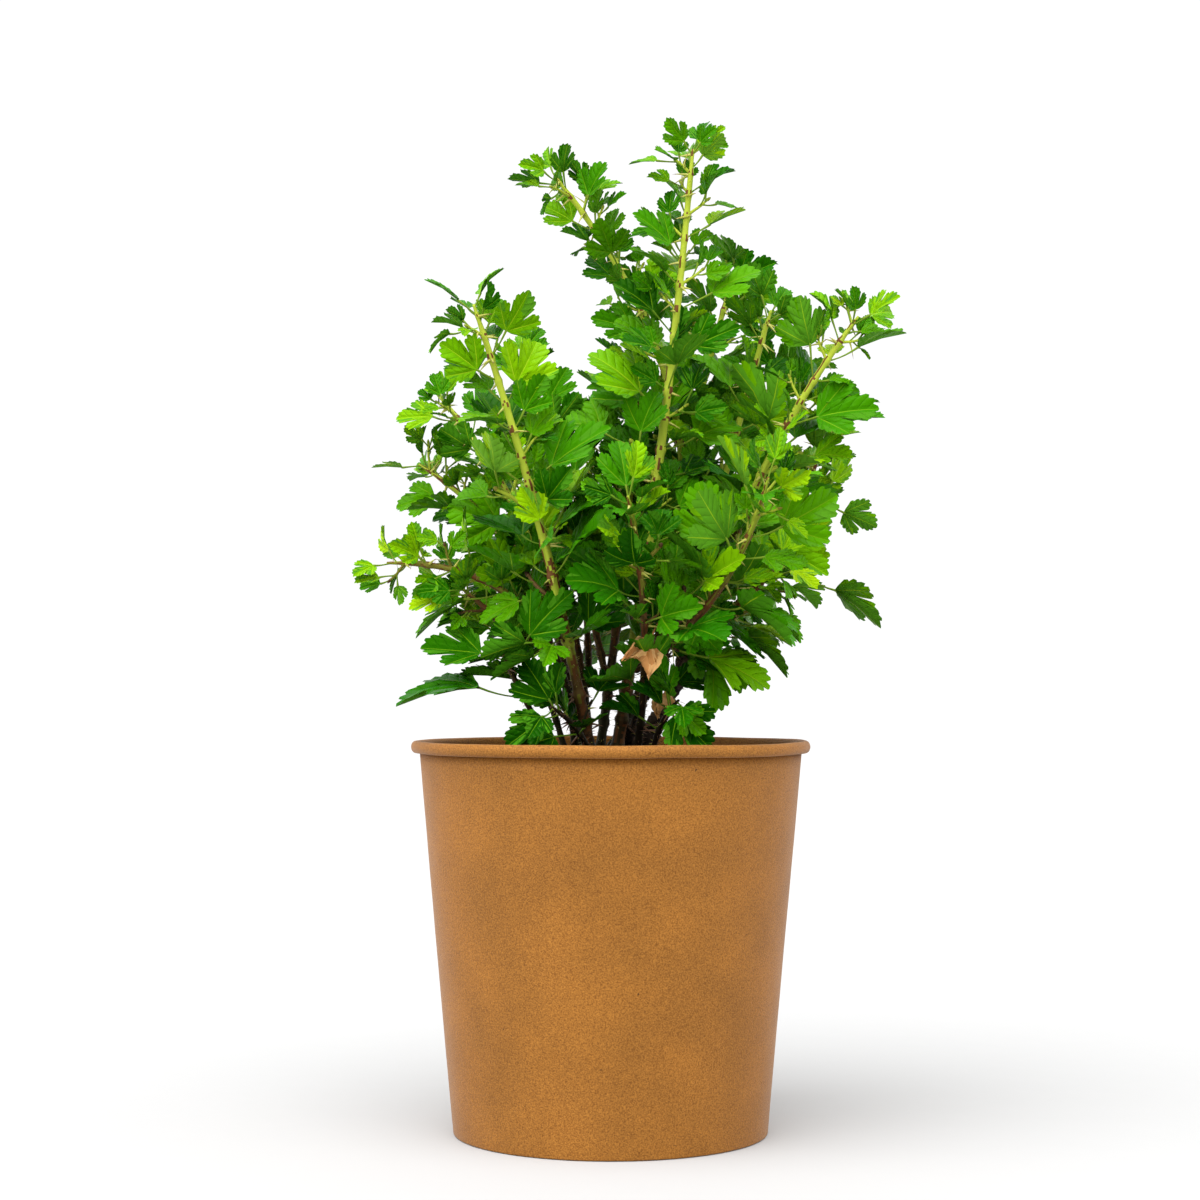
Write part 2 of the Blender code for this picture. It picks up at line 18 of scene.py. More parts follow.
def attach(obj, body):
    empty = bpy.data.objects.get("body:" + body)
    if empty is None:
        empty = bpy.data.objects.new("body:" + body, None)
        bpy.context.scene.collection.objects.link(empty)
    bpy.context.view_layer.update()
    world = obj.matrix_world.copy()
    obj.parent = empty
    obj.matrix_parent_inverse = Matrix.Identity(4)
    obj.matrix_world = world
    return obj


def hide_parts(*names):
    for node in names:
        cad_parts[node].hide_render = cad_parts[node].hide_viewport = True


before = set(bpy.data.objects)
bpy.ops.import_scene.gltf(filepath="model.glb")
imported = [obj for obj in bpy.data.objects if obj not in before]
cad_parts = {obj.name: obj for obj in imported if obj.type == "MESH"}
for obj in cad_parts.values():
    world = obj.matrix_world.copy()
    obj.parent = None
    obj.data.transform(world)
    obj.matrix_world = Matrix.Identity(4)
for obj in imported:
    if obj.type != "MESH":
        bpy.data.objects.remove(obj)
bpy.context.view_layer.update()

# Pot and soil, as in the solids
GAP = 0.0003
POT_HEIGHT = 0.190
POT_FOOT_RADIUS = 0.0765
POT_TOP_RADIUS = 0.0938
POT_WALL = 0.0008
POT_FOOT_ROUND = 0.0008
RIM_RADIUS = 0.0975
RIM_DEEP = 0.0059
RIM_WIDE = 0.0045
SOIL_TOP = 0.177

# Limbs, stems, twigs and leaves, as in the solids
FOOT_RISE = 0.0025
FORK_RISE = 0.0015
FLARE = 0.5
FLARE_HEIGHT = 0.004
TIP_RADIUS = 0.0013
LIMB_STEP = 0.013
STEM_STEP = 0.020
TWIG_RADIUS = 0.0011
TWIG_SHORTEST = 0.016
TWIG_LONGEST = 0.034
TWIG_EVERY = 3
TWIGS_END = 0.75
TWIG_LEAVES = (0.45, 0.78, 0.95)
TWIG_ALONG, TWIG_OUT, TWIG_LIFT = 0.75, 0.8, 0.1
TWIG_SHRINK = 1.1
TWIG_LEAF_SIZE = 0.85
TWIG_LEAF_AHEAD = 0.25
LEAF_LENGTH = 0.031
LEAF_THICK = 0.0008
LEAF_CENTRE = 0.16
LEAF_HALF = (
    (0.03, 0.00, 0.00),
    (0.57, 0.45, 0.12),
    (0.25, 0.58, 0.02),
    (0.17, 0.97, -0.04),
)
LEAF_OUTLINE = LEAF_HALF + tuple((-x, y, z) for x, y, z in reversed(LEAF_HALF))
LEAF_FACES = (
    *((9, (corner + 1) % 8, corner) for corner in range(8)),
    *((corner + 1, 8, corner) for corner in range(7)),
    *((7, 0, 10), (7, 10, 11), (8, 7, 11), (8, 11, 12), (0, 8, 12), (0, 12, 10), (10, 12, 11)),
)
STALK_HALF_WIDTH = 0.00045
STALK_DEPTH = 0.0007
STALK_CLEAR = 0.3
SWELL = 2.4
TEST_SWELL = 1.3
TRIES = 8
TRY_TURN = 0.35
TRY_SHRINK = 0.05
LOWEST_LEAF = POT_HEIGHT + 0.0025
GOLDEN_ANGLE = math.radians(137.5)
FIRST_NODE = 0.006
NODE_STEP_LOW = 0.0175
NODE_STEP_HIGH = 0.0095
TUFT = 3
TUFT_STEP = 0.004
TUFT_START = 0.0016
TUFT_LEAF_SIZE = 0.95
SIZE_PLACES = (0.0, 0.4, 1.0)
SIZES = (0.92, 1.02, 0.51)
SPREAD_LOW = math.radians(66.0)
SPREAD_HIGH = math.radians(40.0)
SPREAD_LOOSE = math.radians(12.0)
SIZE_LOOSE = (0.82, 1.14)
STALK_LENGTH = (0.40, 0.75)
BLADE_OUT = 0.25
BLADE_UP = 0.20
BLADE_LOOSE = 0.25
FACE_UP = Vector((0.0, -0.25, 0.55))
FACE_AWAY = 0.4
FACE_LOOSE, FACE_LOOSE_UP = 0.75, (-0.6, 1.0)
FRONT_SHARE = 0.3
MIDDLE = Vector((0.0, 0.03, 0.0))

# The finer growth that the solids leave out
FILL_SWELL = 1.2
SPUR_LEAVES = 2  # more leaves at each node
SPURS_END = 0.7  # share of a stem above which there is only one more
SPUR_TURN, SPUR_TURN_STEP = 0.55, 0.9  # half turns from the node's own leaf, and to the next
SPUR_SIZES = (0.55, 0.95)
FINE_TWIG_RADIUS = 0.0007
FINE_TWIG = (0.008, 0.015)
FINE_TURN = (1.5, 4.5)
FINE_ALONG, FINE_LIFT = 0.6, 0.2
FINE_CLEAR = 0.4
FINE_LEAVES = (0.6, 0.77, 0.94)
FINE_LEAF_AHEAD = 0.35
OPEN_BASE = 0.226  # no finer growth below this height, where the limbs show
OPEN_SLOPE, OPEN_SIDE = 0.76, 0.030  # that height rises to the right of this distance
OPEN_MIDDLE = 0.016  # nearer to the middle than this the base is leafy
TIP_LEAVES, TIP_STEP = 6, 0.0025  # more leaves at each tip
TIP_TURN = 0.4
TIP_SIZES, TIP_STALK = (0.8, 1.3), 0.45

# Leaf blades, as shares of their length
GROWN_HALF = (  # the right half's outline from the stalk to the tip: across and along
    (0.020, 0.000), (0.120, 0.012), (0.260, 0.045), (0.355, 0.068), (0.400, 0.125), (0.385, 0.155),
    (0.470, 0.200), (0.500, 0.265), (0.462, 0.284), (0.550, 0.350), (0.572, 0.420), (0.522, 0.430),
    (0.585, 0.500), (0.565, 0.565), (0.505, 0.556), (0.490, 0.635), (0.440, 0.665), (0.395, 0.616),
    (0.362, 0.648), (0.305, 0.622), (0.180, 0.410), (0.207, 0.500), (0.270, 0.665), (0.292, 0.735),
    (0.247, 0.745), (0.278, 0.840), (0.252, 0.895), (0.198, 0.885), (0.182, 0.965), (0.140, 0.990),
    (0.098, 0.955), (0.058, 1.030), (0.000, 1.050),
)
YOUNG_HALF = (
    (0.020, 0.000), (0.150, 0.020), (0.340, 0.075), (0.390, 0.150), (0.500, 0.235), (0.460, 0.300),
    (0.570, 0.400), (0.520, 0.450), (0.570, 0.530), (0.490, 0.560), (0.450, 0.655), (0.330, 0.630),
    (0.185, 0.420), (0.285, 0.700), (0.250, 0.760), (0.265, 0.870), (0.195, 0.885), (0.150, 0.985),
    (0.095, 0.950), (0.000, 1.050),
)
GROWN_APEX, YOUNG_APEX = 13, 8  # where the side lobe's main vein ends
GROWN_NOTCH, YOUNG_NOTCH = 20, 12  # between the side lobe and the middle one
GROWN_RINGS = (0.25, 0.5, 0.76, 1.0), (0.5, 1.0)
YOUNG_RINGS = (0.35, 0.7, 1.0), (0.5, 1.0)
BLADE_KINDS = (  # how wide, how far the notches reach out, and which outline
    (1.00, 1.00, True),
    (1.10, 1.12, True),
    (0.90, 0.90, True),
    (1.04, 0.80, True),
    (0.88, 1.05, False),
    (1.00, 0.90, False),
)
LARGE_KINDS, SMALL_KINDS = (0, 1, 2, 3), (4, 5)
SMALL_LEAF = 0.017
VEIN_HALF, VEIN_TAPER = 0.0095, 1.25
PANEL_SLOPE = 0.34  # how steeply the blade rises beside its main veins
PANEL_REACH = 0.15
CRINKLE, CRINKLE_SCALE = 0.050, 5.5
CRINKLE_CLEAR = 0.1  # distance from a main vein below which the crinkles fade
CRINKLE_SHIFT = 40.0, 70.0  # so that each kind of blade has other crinkles
SHEET = 0.006  # between the top and the underside
SIDE_VEIN_STEP = 0.17  # along a main vein
SIDE_VEIN_LEAN = 0.85  # how far ahead a side vein runs for each step aside
SIDE_VEIN_ROUND = 0.45  # how full the blade is between them
SIDE_VEIN_FADE = 14.0  # how soon they start beside a main vein
VEIN_STRENGTH, VEIN_RELIEF = 0.8, 0.0006
BLADE_LIFT = (0.7, 1.3)
BLADE_WAVE, BLADE_WAVES, WAVE_START = (0.02, 0.07), 3.0, 6.28
BLADE_CURL = (0.10, 0.65)
BLADE_FOLD = (2.0, 24.0)
BLADE_TWIST = 0.35

# Colours are linear: red, green, blue
WHITE = (1.0, 1.0, 1.0)
FLOOR_GREY = 0.425  # just enough to come out white in this light
LEAF_TONES = (  # from the deepest green to the freshest
    (0.005, 0.060, 0.0004),
    (0.013, 0.108, 0.0004),
    (0.032, 0.172, 0.0005),
    (0.064, 0.236, 0.0006),
    (0.108, 0.300, 0.0008),
    (0.158, 0.360, 0.001),
    (0.215, 0.420, 0.0013),
    (0.290, 0.490, 0.002),
)
VEIN_TONES = ((0.12, 0.26, 0.005), (0.27, 0.43, 0.010))
UNDER_TONES = ((0.048, 0.190, 0.006), (0.075, 0.245, 0.010), (0.120, 0.310, 0.018))
LEAF_SHINE = (0.4, 0.8, 0.03)  # a leaf's gloss is green too
MIDDLE_TONE, TONE_LOOSE = 2.6, 1.5
PALE_VEINS = 3  # leaves of a fresher tone than this one have the paler veins
UNDER_EVERY = 3  # so many tones share an underside
TONE_ASIDE = 17.0  # leaves out at the sides are fresher, by this much a metre
PAINTED_SHADE_RATE, PAINTED_SHADE_BELOW = 60.0, 0.258  # and those below this height are deeper, by this much a metre: painted shade for the shade under the bush
CANE_TONES = (  # from the bark at the soil to the fresh tips
    (0.010, 0.006, 0.004),
    (0.028, 0.014, 0.007),
    (0.060, 0.027, 0.012),
    (0.100, 0.055, 0.018),
    (0.145, 0.135, 0.016),
    (0.200, 0.245, 0.018),
    (0.270, 0.340, 0.024),
    (0.350, 0.430, 0.034),
)
RUST_TONE = (0.120, 0.042, 0.014)  # streaks and scars on green bark
CANE_SHINE = (0.8, 0.85, 0.35)
OLD_BARK_TONES = ((0.008, 0.005, 0.003), (0.020, 0.012, 0.007), (0.042, 0.026, 0.015), (0.085, 0.055, 0.034))
STALK_TONES = ((0.090, 0.180, 0.012), (0.150, 0.240, 0.020))
SPINE_TONES = ((0.42, 0.42, 0.070), (0.19, 0.07, 0.022), (0.170, 0.080, 0.034))
DEAD_TONES = ((0.56, 0.25, 0.070), (0.70, 0.37, 0.12), (0.78, 0.46, 0.18))
EARTH_TONES = ((0.011, 0.007, 0.004), (0.024, 0.014, 0.008), (0.055, 0.032, 0.018), (0.12, 0.075, 0.040))
COATS = {  # tones, roughness, the scale and depth of the fine relief, gloss, and the gloss's colour
    "leaf": (LEAF_TONES, 0.36, 420.0, 0.0004, 0.14, LEAF_SHINE),
    "vein": (VEIN_TONES, 0.5, 700.0, 0.0002, 0.2, LEAF_SHINE),
    "under": (UNDER_TONES, 0.6, 420.0, 0.0004, 0.1, LEAF_SHINE),
    "cane": ((*CANE_TONES, RUST_TONE), 0.5, 900.0, 0.0003, 0.25, CANE_SHINE),
    "old_bark": (OLD_BARK_TONES, 0.85, 1300.0, 0.0006, 0.2, WHITE),
    "stalk": (STALK_TONES, 0.45, 700.0, 0.0002, 0.25, LEAF_SHINE),
    "spine": (SPINE_TONES, 0.4, 700.0, 0.0002, 0.5, WHITE),
    "dead_leaf": (DEAD_TONES, 0.75, 1100.0, 0.0005, 0.5, WHITE),
    "earth": (EARTH_TONES, 0.9, 900.0, 0.0006, 0.12, WHITE),
    "floor": (((FLOOR_GREY,) * 3,), 0.8, 40.0, 0.0001, 0.1, WHITE),
}
ROUGH_LOOSE = 0.1  # how much a coat's roughness varies to each side
COAT_STRENGTH, COAT_DETAIL = 0.5, 3.0  # of its relief
KRAFT_LIGHT, KRAFT_DARK = (0.385, 0.158, 0.024), (0.158, 0.053, 0.005)
KRAFT_CLOUD, KRAFT_FLECK = 0.80, (0.050, 0.018, 0.004)
KRAFT_FIBRES = (1500.0, 4.0, 0.3, 0.7)  # a noise's scale and detail, and the levels it is spread between
KRAFT_CLOUDS = (30.0, 4.0, 0.35, 0.7)
KRAFT_FLECKS = (420.0, 2.0, 0.74, 0.80)
KRAFT_STRENGTH, KRAFT_RELIEF = 0.35, 0.0003
KRAFT_SURFACE = {
    "Roughness": 0.62,
    "Specular IOR Level": 0.3,
    "Specular Tint": (1.0, 0.82, 0.62, 1.0),
    "Sheen Weight": 0.16,
    "Sheen Roughness": 0.35,
    "Sheen Tint": (1.0, 0.86, 0.78, 1.0),
}

# Canes
CANE_STEP = 0.0012
CANE_SIDES = 12
SCAR_STEP = 0.014  # between the old leaf scars on a bare limb
SWELLING, SWELLING_REACH = 0.30, 0.0016  # of a cane at each node
TIP_SLIM, TIP_REACH = 0.5, 0.03  # the last stretch is slimmer
BROWN_BELOW, GREEN_ABOVE = 0.205, 0.300  # heights between which the bark turns green
YOUNG_RADIUS, YOUNG_SHIFT = 0.0029, 0.045  # the strongest canes are young, and green further down
ROUGH_BARK, ROUGHER_BROWN = 0.05, 0.14  # how uneven green bark is, and brown bark beyond that
ROUGH_SCALE, ROUGH_LENGTHS = 2.4, 300.0  # round a cane, and along it
BARK_TONE, BARK_RISE, BARK_STREAK = 1.0, 5.0, 1.6  # the first tone, the rise to green, and the streaks
BARK_SHIFTS = 50.0  # so that each cane has other streaks
FOOT_DARK, FOOT_DEPTH = 0.016, 3.0  # how far up a cane's foot is darker, and by how many tones
STREAK_SCALE = 1.4  # round a cane
STREAKS = (1.0, 0.0, 110.0)  # a noise's further scale, its shift, and its scale along a cane
RUST_PATCHES, RUST_SPECKS, SPECKS_SHARE = (1.8, 9.0, 70.0), (4.0, 5.0, 400.0), 0.5
RUST_LEVEL, RUST_FADE = 0.10, 0.32  # how much green bark has a rusty streak, and how soon that ends
RUST_START, RUST_FULL = 0.3, 0.6  # shares of the way from brown to green
NODE_SCAR, SCAR_LEVEL = 0.0014, 0.02

# Spines and bristles
SPINE_COUNTS = (1, 2, 2, 3)
SPINE_LENGTH = (0.005, 0.0095)
SPINE_RADIUS = 0.0008
SPINE_SPREAD = 0.8
SPINE_LEAN, BRISTLE_LEAN = (-0.5, 0.15), (-0.4, 0.3)
SPINE_DROP = 0.0008  # how far below its node a spine stands
SPINE_ROOT, BRISTLE_ROOT = 0.8, 0.9  # shares of the cane's radius
SPINE_BEND, BRISTLE_BEND = -0.12, 0.1
SPINE_SIDES, SPINE_STEPS, BRISTLE_SIDES, BRISTLE_STEPS = 5, 4, 3, 1
FRESH_ABOVE, DARK_SPINE = 0.235, 2  # below that height spines have this tone
BRISTLE_LENGTH = (0.0014, 0.0034)
BRISTLE_RADIUS = 0.00017
BRISTLES_PER_METRE = 1800
BRISTLES_END, BRISTLES_FADE = 0.285, 0.05  # heights
DARK_BRISTLES = 0.7

# Old limbs
OLD_STEP = 0.0008
OLD_SIDES = 22
OLD_TAPER = 0.4
OLD_RIDGES, OLD_FURROW, OLD_LENGTHS = (0.30, 1.9), 0.12, 90.0
OLD_SHIFT = Vector((7.0, 0.0, 0.0))
OLD_ROUGH = (0.16, 4.5)
OLD_TONE, OLD_SPOT, OLD_SPOTS = 1.3, 3.0, 420.0
OLD_TONES = 3  # the last of the tones is only for flakes
FLAKES, FLAKE_SLOTS = 90, (1, 2, 2, 3)
FLAKE_WIDTH, FLAKE_LENGTH = (0.2, 0.55), (0.0015, 0.0055)
FLAKE_THICK, FLAKE_LIFT, FLAKE_REACH = 0.00022, 0.0011, 1.14

# Stalks and twigs
STALK_STEPS, STALK_SIDES = 5, 5
STALK_SAG, STALK_ASIDE = (-0.10, 0.03), 0.06
STALK_RADIUS, STALK_WAIST, STALK_END = 0.00062, 0.00024, 0.00022
STALK_POWER = 0.7  # brings the waist nearer to the foot
STALK_PALE = MIDDLE_TONE - 0.5  # leaves of a fresher tone have the paler stalk
STALK_INTO, STALK_UNDER = 0.05, 0.0003  # where a stalk ends in its blade
TWIG_STEPS, TWIG_SIDES = 7, 6
TWIG_CROOK, TWIG_CROOKS, TWIG_CROOK_LOOSE = 0.03, 7.0, 0.5
TWIG_FOOT, TWIG_TAPER = 1.15, 0.35
TWIG_BUD = ((0.0006, 1.15), (0.0016, 1.05), (0.0026, 0.35))  # steps past its end, and radii there
TWIG_TONE, TWIG_LOOSE, BUD_DARKER = 1.5, 0.8, 2
TWIG_SPINES, TWIG_SPINE_PLACE = (0, 1, 2), (0.3, 0.9)
TWIG_SPINE_SIZE, TWIG_SPINE_LEAN, TWIG_SPINE_BEND = 0.8, 0.2, -0.1

# Pot
POT_SIDES = 192
POT_FLOOR = 0.0015
POT_UNDER = ((0.04, 0.0), (0.0735, 0.0), (0.0737, 0.0004), (0.0740, 0.0))  # with a crease near the edge
FOOT_STEPS, WALL_STEPS, RIM_STEPS, INSIDE_STEPS = 4, 30, 18, 10
RIM_ARC = (-100.0, 180.0)
RIM_GROOVE, GROOVE_RISES = 0.0008, (0.0001, 0.0005)  # where the rolled rim meets the wall
SEAM_STEP = 0.0005
SEAM_WIDE = 0.012
SEAM_FOOT = 0.002
POT_UNEVEN = (1.3, 9.0, 0.00035), (7.0, 60.0, 0.00008)  # scales round and up the wall, and depths
EVEN_BELOW, EVEN_WITHIN = 0.01, 0.07  # the foot and the underside are even
RIM_WAVE, RIM_WAVES, RIM_SHIFT = 0.0005, 2.2, Vector((5.0, 0.0, 0.0))
WAVE_ABOVE, WAVE_POWER = 0.1, 6  # the rim's wave fades down the wall

# Soil
SOIL_RINGS, SOIL_SIDES = 46, 150
SOIL_LOW = 0.0018
SOIL_RELIEF = 0.0022
SOIL_SPOTS, SPOT_LEVEL = 300.0, 0.1  # lighter spots
SOIL_COARSE, SOIL_FINE = (0.8, 55.0, 0.7, 2.1, 5), (0.45, 260.0, 0.6, 2.1, 3)
SOIL_SHIFT = Vector((3.0, 0.0, 0.0))
SOIL_RADIUS, SOIL_FLAT, SOIL_SHOULDER = 0.091, 0.72, 0.003
CRUMBS, CRUMBS_REACH = 1500, 0.0885
CRUMB_SIZE, CRUMB_MORE = 0.0006, 0.0022
CRUMB_WIDE, CRUMB_TALL = (0.7, 1.3), (0.45, 0.9)
CRUMB_LIFT, CRUMB_LUMP = 0.3, 0.45
CRUMB_SCALE, CRUMB_SHIFT = 1.6, 1.7
CRUMB_SLOTS, FIBRE_SLOTS = (0, 0, 1, 1, 1, 2), (2, 2, 3)
FIBRES, FIBRES_REACH = 320, 0.085
FIBRE_LENGTH = (0.003, 0.011)
FIBRE_SWAY, FIBRE_SWAYS = 0.5, 1.1
FIBRE_LIFT, FIBRE_STEP = 0.0005, 0.0006
FIBRE_RADII = (0.00016, 0.0002, 0.00022, 0.00018, 0.0001)

# Two dead leaves that hang among the limbs: where, which way they point and face, and their length
DEAD_LEAVES = (
    ((0.0185, -0.052, 0.2370), (-0.55, -0.25, -0.8), (0.3, -0.9, 0.2), 0.027),
    ((0.0250, -0.034, 0.2130), (0.35, -0.3, -0.85), (-0.3, -0.9, 0.0), 0.019),
)
DEAD_ROLL, DEAD_BEND, DEAD_RELIEF = 3.4, 2.1, 2.2
DEAD_TUCK, DEAD_SLACK = 0.6, 0.8
DEAD_WAVE, DEAD_WAVES_ACROSS, DEAD_WAVES_ALONG = 0.05, 9.0, 14.0
DEAD_STALK, DEAD_BOW, DEAD_INTO = Vector((0.006, 0.016, 0.012)), Vector((0.0, 0.0, 0.002)), 0.001
DEAD_STALK_RADII = (0.0005, 0.0004, 0.0004)

# Floor, light and camera
FLOOR_SIZE, FLOOR_DROP = 12.0, 0.0002
CAMERA_DISTANCE, CAMERA_HEIGHT = 1.21, 0.2195
CAMERA_TILT, CAMERA_TURN = math.radians(91.86), math.radians(0.244)
FOCAL_LENGTH = 74.04
WORLD_LIGHT = 1.05
SUNS = (  # name, the way to it, how wide it looks in degrees, strength
    ("key", (-0.12, -0.45, 1.0), 60.0, 4.2),
    ("left", (-1.0, -0.5, 0.35), 70.0, 1.3),
    ("right", (1.0, -0.5, 0.35), 70.0, 0.8),
)


class Cane(NamedTuple):
    """One cane: where it starts, a point it passes, its tip, and how it is clothed."""

    foot: tuple
    way: tuple
    tip: tuple
    radius: float
    bare: float
    size: float = 1.0
    droop: float = 0.0


OLD_LIMBS = {
    "old_right": Cane((0.014, 0.001), (0.026, 0.006, 0.206), (0.044, 0.012, 0.236), 0.0038, 1.0),
    "old_middle": Cane((0.008, 0.016), (0.014, 0.024, 0.206), (0.027, 0.03, 0.234), 0.0031, 1.0),
}

CANES = {
    "front_left": Cane((-0.009, -0.018), (-0.026, -0.042, 0.263), (-0.064, -0.062, 0.395), 0.003, 0.24),
    "tall": Cane((0.002, -0.013), (0.021, -0.02, 0.306), (0.04, -0.02, 0.477), 0.0031, 0.22),
    "right": Cane(("old_right", 1.0), (0.074, -0.02, 0.321), (0.119, -0.03, 0.394), 0.0026, 0.12),
    "back_top": Cane((-0.003, 0.012), (0.036, 0.03, 0.33), (-0.028, 0.02, 0.472), 0.0025, 0.26, 0.9),
    "left_low": Cane(
        (-0.017, -0.003), (-0.053, -0.02, 0.263), (-0.108, -0.02, 0.276), 0.0021, 0.36, 0.8, 0.3
    ),
    "left_mid": Cane((-0.016, 0.012), (-0.058, 0.04, 0.296), (-0.098, 0.05, 0.33), 0.0021, 0.33, 0.9),
    "left_upper": Cane(("left_mid", 0.75), (-0.052, 0.02, 0.314), (-0.086, 0.03, 0.362), 0.0018, 0.14, 0.9),
    "mid_right": Cane(("old_right", 0.8), (0.057, 0.03, 0.32), (0.081, 0.03, 0.406), 0.0023, 0.14),
    "right_outer": Cane(("old_right", 0.66), (0.082, 0.038, 0.287), (0.118, 0.046, 0.362), 0.0021, 0.24),
    "right_low": Cane(
        ("old_right", 0.9), (0.06, -0.026, 0.254), (0.079, -0.038, 0.272), 0.0018, 0.14, 1.0, 0.5
    ),
    "front_right": Cane(("tall", 0.7), (0.046, -0.048, 0.255), (0.072, -0.086, 0.312), 0.0018, 0.12, 1.1),
    "front_middle": Cane((0.012, -0.016), (0.016, -0.046, 0.24), (0.008, -0.08, 0.304), 0.002, 0.25, 1.1),
    "centre": Cane((-0.006, 0.0), (0.012, 0.046, 0.33), (0.019, 0.058, 0.418), 0.0024, 0.26),
    "left_inner": Cane(("centre", 0.75), (-0.028, 0.03, 0.325), (-0.046, 0.04, 0.385), 0.0018, 0.14, 0.9),
    "right_back": Cane(("old_middle", 1.0), (0.041, 0.07, 0.34), (0.066, 0.075, 0.435), 0.0023, 0.14),
    "back_left": Cane((-0.01, 0.023), (-0.03, 0.07, 0.29), (-0.05, 0.092, 0.344), 0.0021, 0.28),
    "back_far": Cane(("old_middle", 0.75), (0.03, 0.08, 0.27), (0.038, 0.112, 0.344), 0.0019, 0.18),
    "back_right": Cane(("right_back", 0.75), (0.066, 0.085, 0.32), (0.09, 0.106, 0.386), 0.0018, 0.1),
    "back_middle": Cane(("back_left", 0.8), (-0.012, 0.08, 0.3), (-0.008, 0.096, 0.362), 0.0018, 0.12),
    "left_shoot": Cane(
        (-0.021, -0.014), (-0.042, -0.014, 0.232), (-0.072, -0.022, 0.264), 0.0015, 0.34, 0.95
    ),
    "low_left": Cane(
        (-0.022, -0.024), (-0.038, -0.03, 0.205), (-0.052, -0.034, 0.234), 0.0014, 0.5, 1.3, 0.1
    ),
    "low_front": Cane(
        (-0.008, -0.026), (-0.016, -0.038, 0.196), (-0.028, -0.05, 0.207), 0.0014, 0.3, 0.9, 0.2
    ),
    "low_right": Cane((0.019, -0.025), (0.024, -0.036, 0.198), (0.032, -0.05, 0.21), 0.0014, 0.3, 0.9, 0.3),
}


class Axis:
    """A smooth line through three points, measured by the distance along it."""

    STEPS = 40

    def __init__(self, start, way, tip):
        near = (way - start).length
        share = near / (near + (tip - way).length)
        rest = 1.0 - share
        pull = (way - start * rest ** 2 - tip * share ** 2) / (2.0 * share * rest)
        self.points = []
        for step in range(self.STEPS + 1):
            t = step / self.STEPS
            self.points.append(start * (1 - t) ** 2 + pull * (2 * t * (1 - t)) + tip * t ** 2)
        self.marks = [0.0]
        for first, second in zip(self.points, self.points[1:]):
            self.marks.append(self.marks[-1] + (second - first).length)
        self.length = self.marks[-1]

    def at(self, distance):
        """The point at a distance along the line, and the line's direction there."""
        step = 0
        while step < self.STEPS - 1 and self.marks[step + 1] < distance:
            step += 1
        first, second = self.points[step], self.points[step + 1]
        share = (distance - self.marks[step]) / (self.marks[step + 1] - self.marks[step])
        return first.lerp(second, share), (second - first).normalized()


def radius_at(cane, axis, distance):
    """A cane tapers evenly from its foot to its tip."""
    share = min(1.0, distance / axis.length)
    return cane.radius + (TIP_RADIUS - cane.radius) * share


def lay_out(canes):
    """Each cane's foot, and the line that it follows after its short square start."""
    feet, axes = {}, {}
    for name, cane in canes.items():
        way, tip = Vector(cane.way), Vector(cane.tip)
        if isinstance(cane.foot[0], str):
            parent, share = cane.foot
            distance = axes[parent].length * canes[parent].bare * share
            point, along = axes[parent].at(distance)
            if share < 1.0:
                side = way - point
                side = (side - along * side.dot(along)).normalized()
                clear = radius_at(canes[parent], axes[parent], distance) + GAP
            else:
                side, clear = along, GAP
            feet[name] = point + side * clear
            axes[name] = Axis(feet[name] + side * FORK_RISE, way, tip)
        else:
            feet[name] = Vector((*cane.foot, SOIL_TOP + GAP))
            axes[name] = Axis(feet[name] + Vector((0.0, 0.0, FOOT_RISE)), way, tip)
    return feet, axes


def square_to(along, turn):
    """The direction that is square to a line, at a turn round it."""
    side = along.orthogonal().normalized()
    return side * math.cos(turn) + along.cross(side) * math.sin(turn)


def limb_line(cane, foot, axis, end, count, thickness):
    """Points, radii and distances along a limb, which flares where it leaves the soil."""
    flare = 0.0 if isinstance(cane.foot[0], str) else FLARE
    points, radii, marks = [foot], [cane.radius * (1.0 + flare)], [0.0]
    for step in range(count + 1):
        distance = end * step / count
        points.append(axis.at(distance)[0])
        radii.append(thickness(distance, flare * math.exp(-(distance + FOOT_RISE) / FLARE_HEIGHT)))
        marks.append(distance)
    return points, radii, marks


def bare_line(cane, foot, axis):
    """Points and radii of a cane's bare part, as in the solids."""
    end = axis.length * cane.bare
    count = max(2, round(end / LIMB_STEP))

    def thickness(distance, spread):
        return radius_at(cane, axis, distance) * (1.0 + spread)

    return limb_line(cane, foot, axis, end, count, thickness)[:2]


def stem_line(cane, axis):
    """Points and radii of the stem that runs on from the bare part, as in the solids."""
    begin = axis.length * cane.bare + GAP
    count = max(3, round((axis.length - begin) / STEM_STEP))
    marks = [begin + (axis.length - begin) * step / count for step in range(count + 1)]
    return [axis.at(mark)[0] for mark in marks], [radius_at(cane, axis, mark) for mark in marks]


def tube_shape(points, radii):
    """Corners and faces of a three-sided tube round a line, to test other shapes against."""
    corners, faces = [], []
    for place, (point, radius) in enumerate(zip(points, radii)):
        ahead = points[min(place + 1, len(points) - 1)] - points[max(place - 1, 0)]
        side = ahead.orthogonal().normalized()
        other = ahead.normalized().cross(side)
        for third in range(3):
            turn = 2.0 * math.pi * third / 3
            out = side * math.cos(turn) + other * math.sin(turn)
            corners.append(point + out * radius * TEST_SWELL)
    for here in range(3 * (len(points) - 1)):
        beside = here + 1 if here % 3 < 2 else here - 2
        faces.append((here, beside, beside + 3, here + 3))
    return corners, faces


class Leaf(NamedTuple):
    """One leaf: its stalk runs from foot to joint, and its blade on from there."""

    foot: Vector
    joint: Vector
    along: Vector
    up: Vector
    length: float
    tone: float = MIDDLE_TONE  # a place in LEAF_TONES


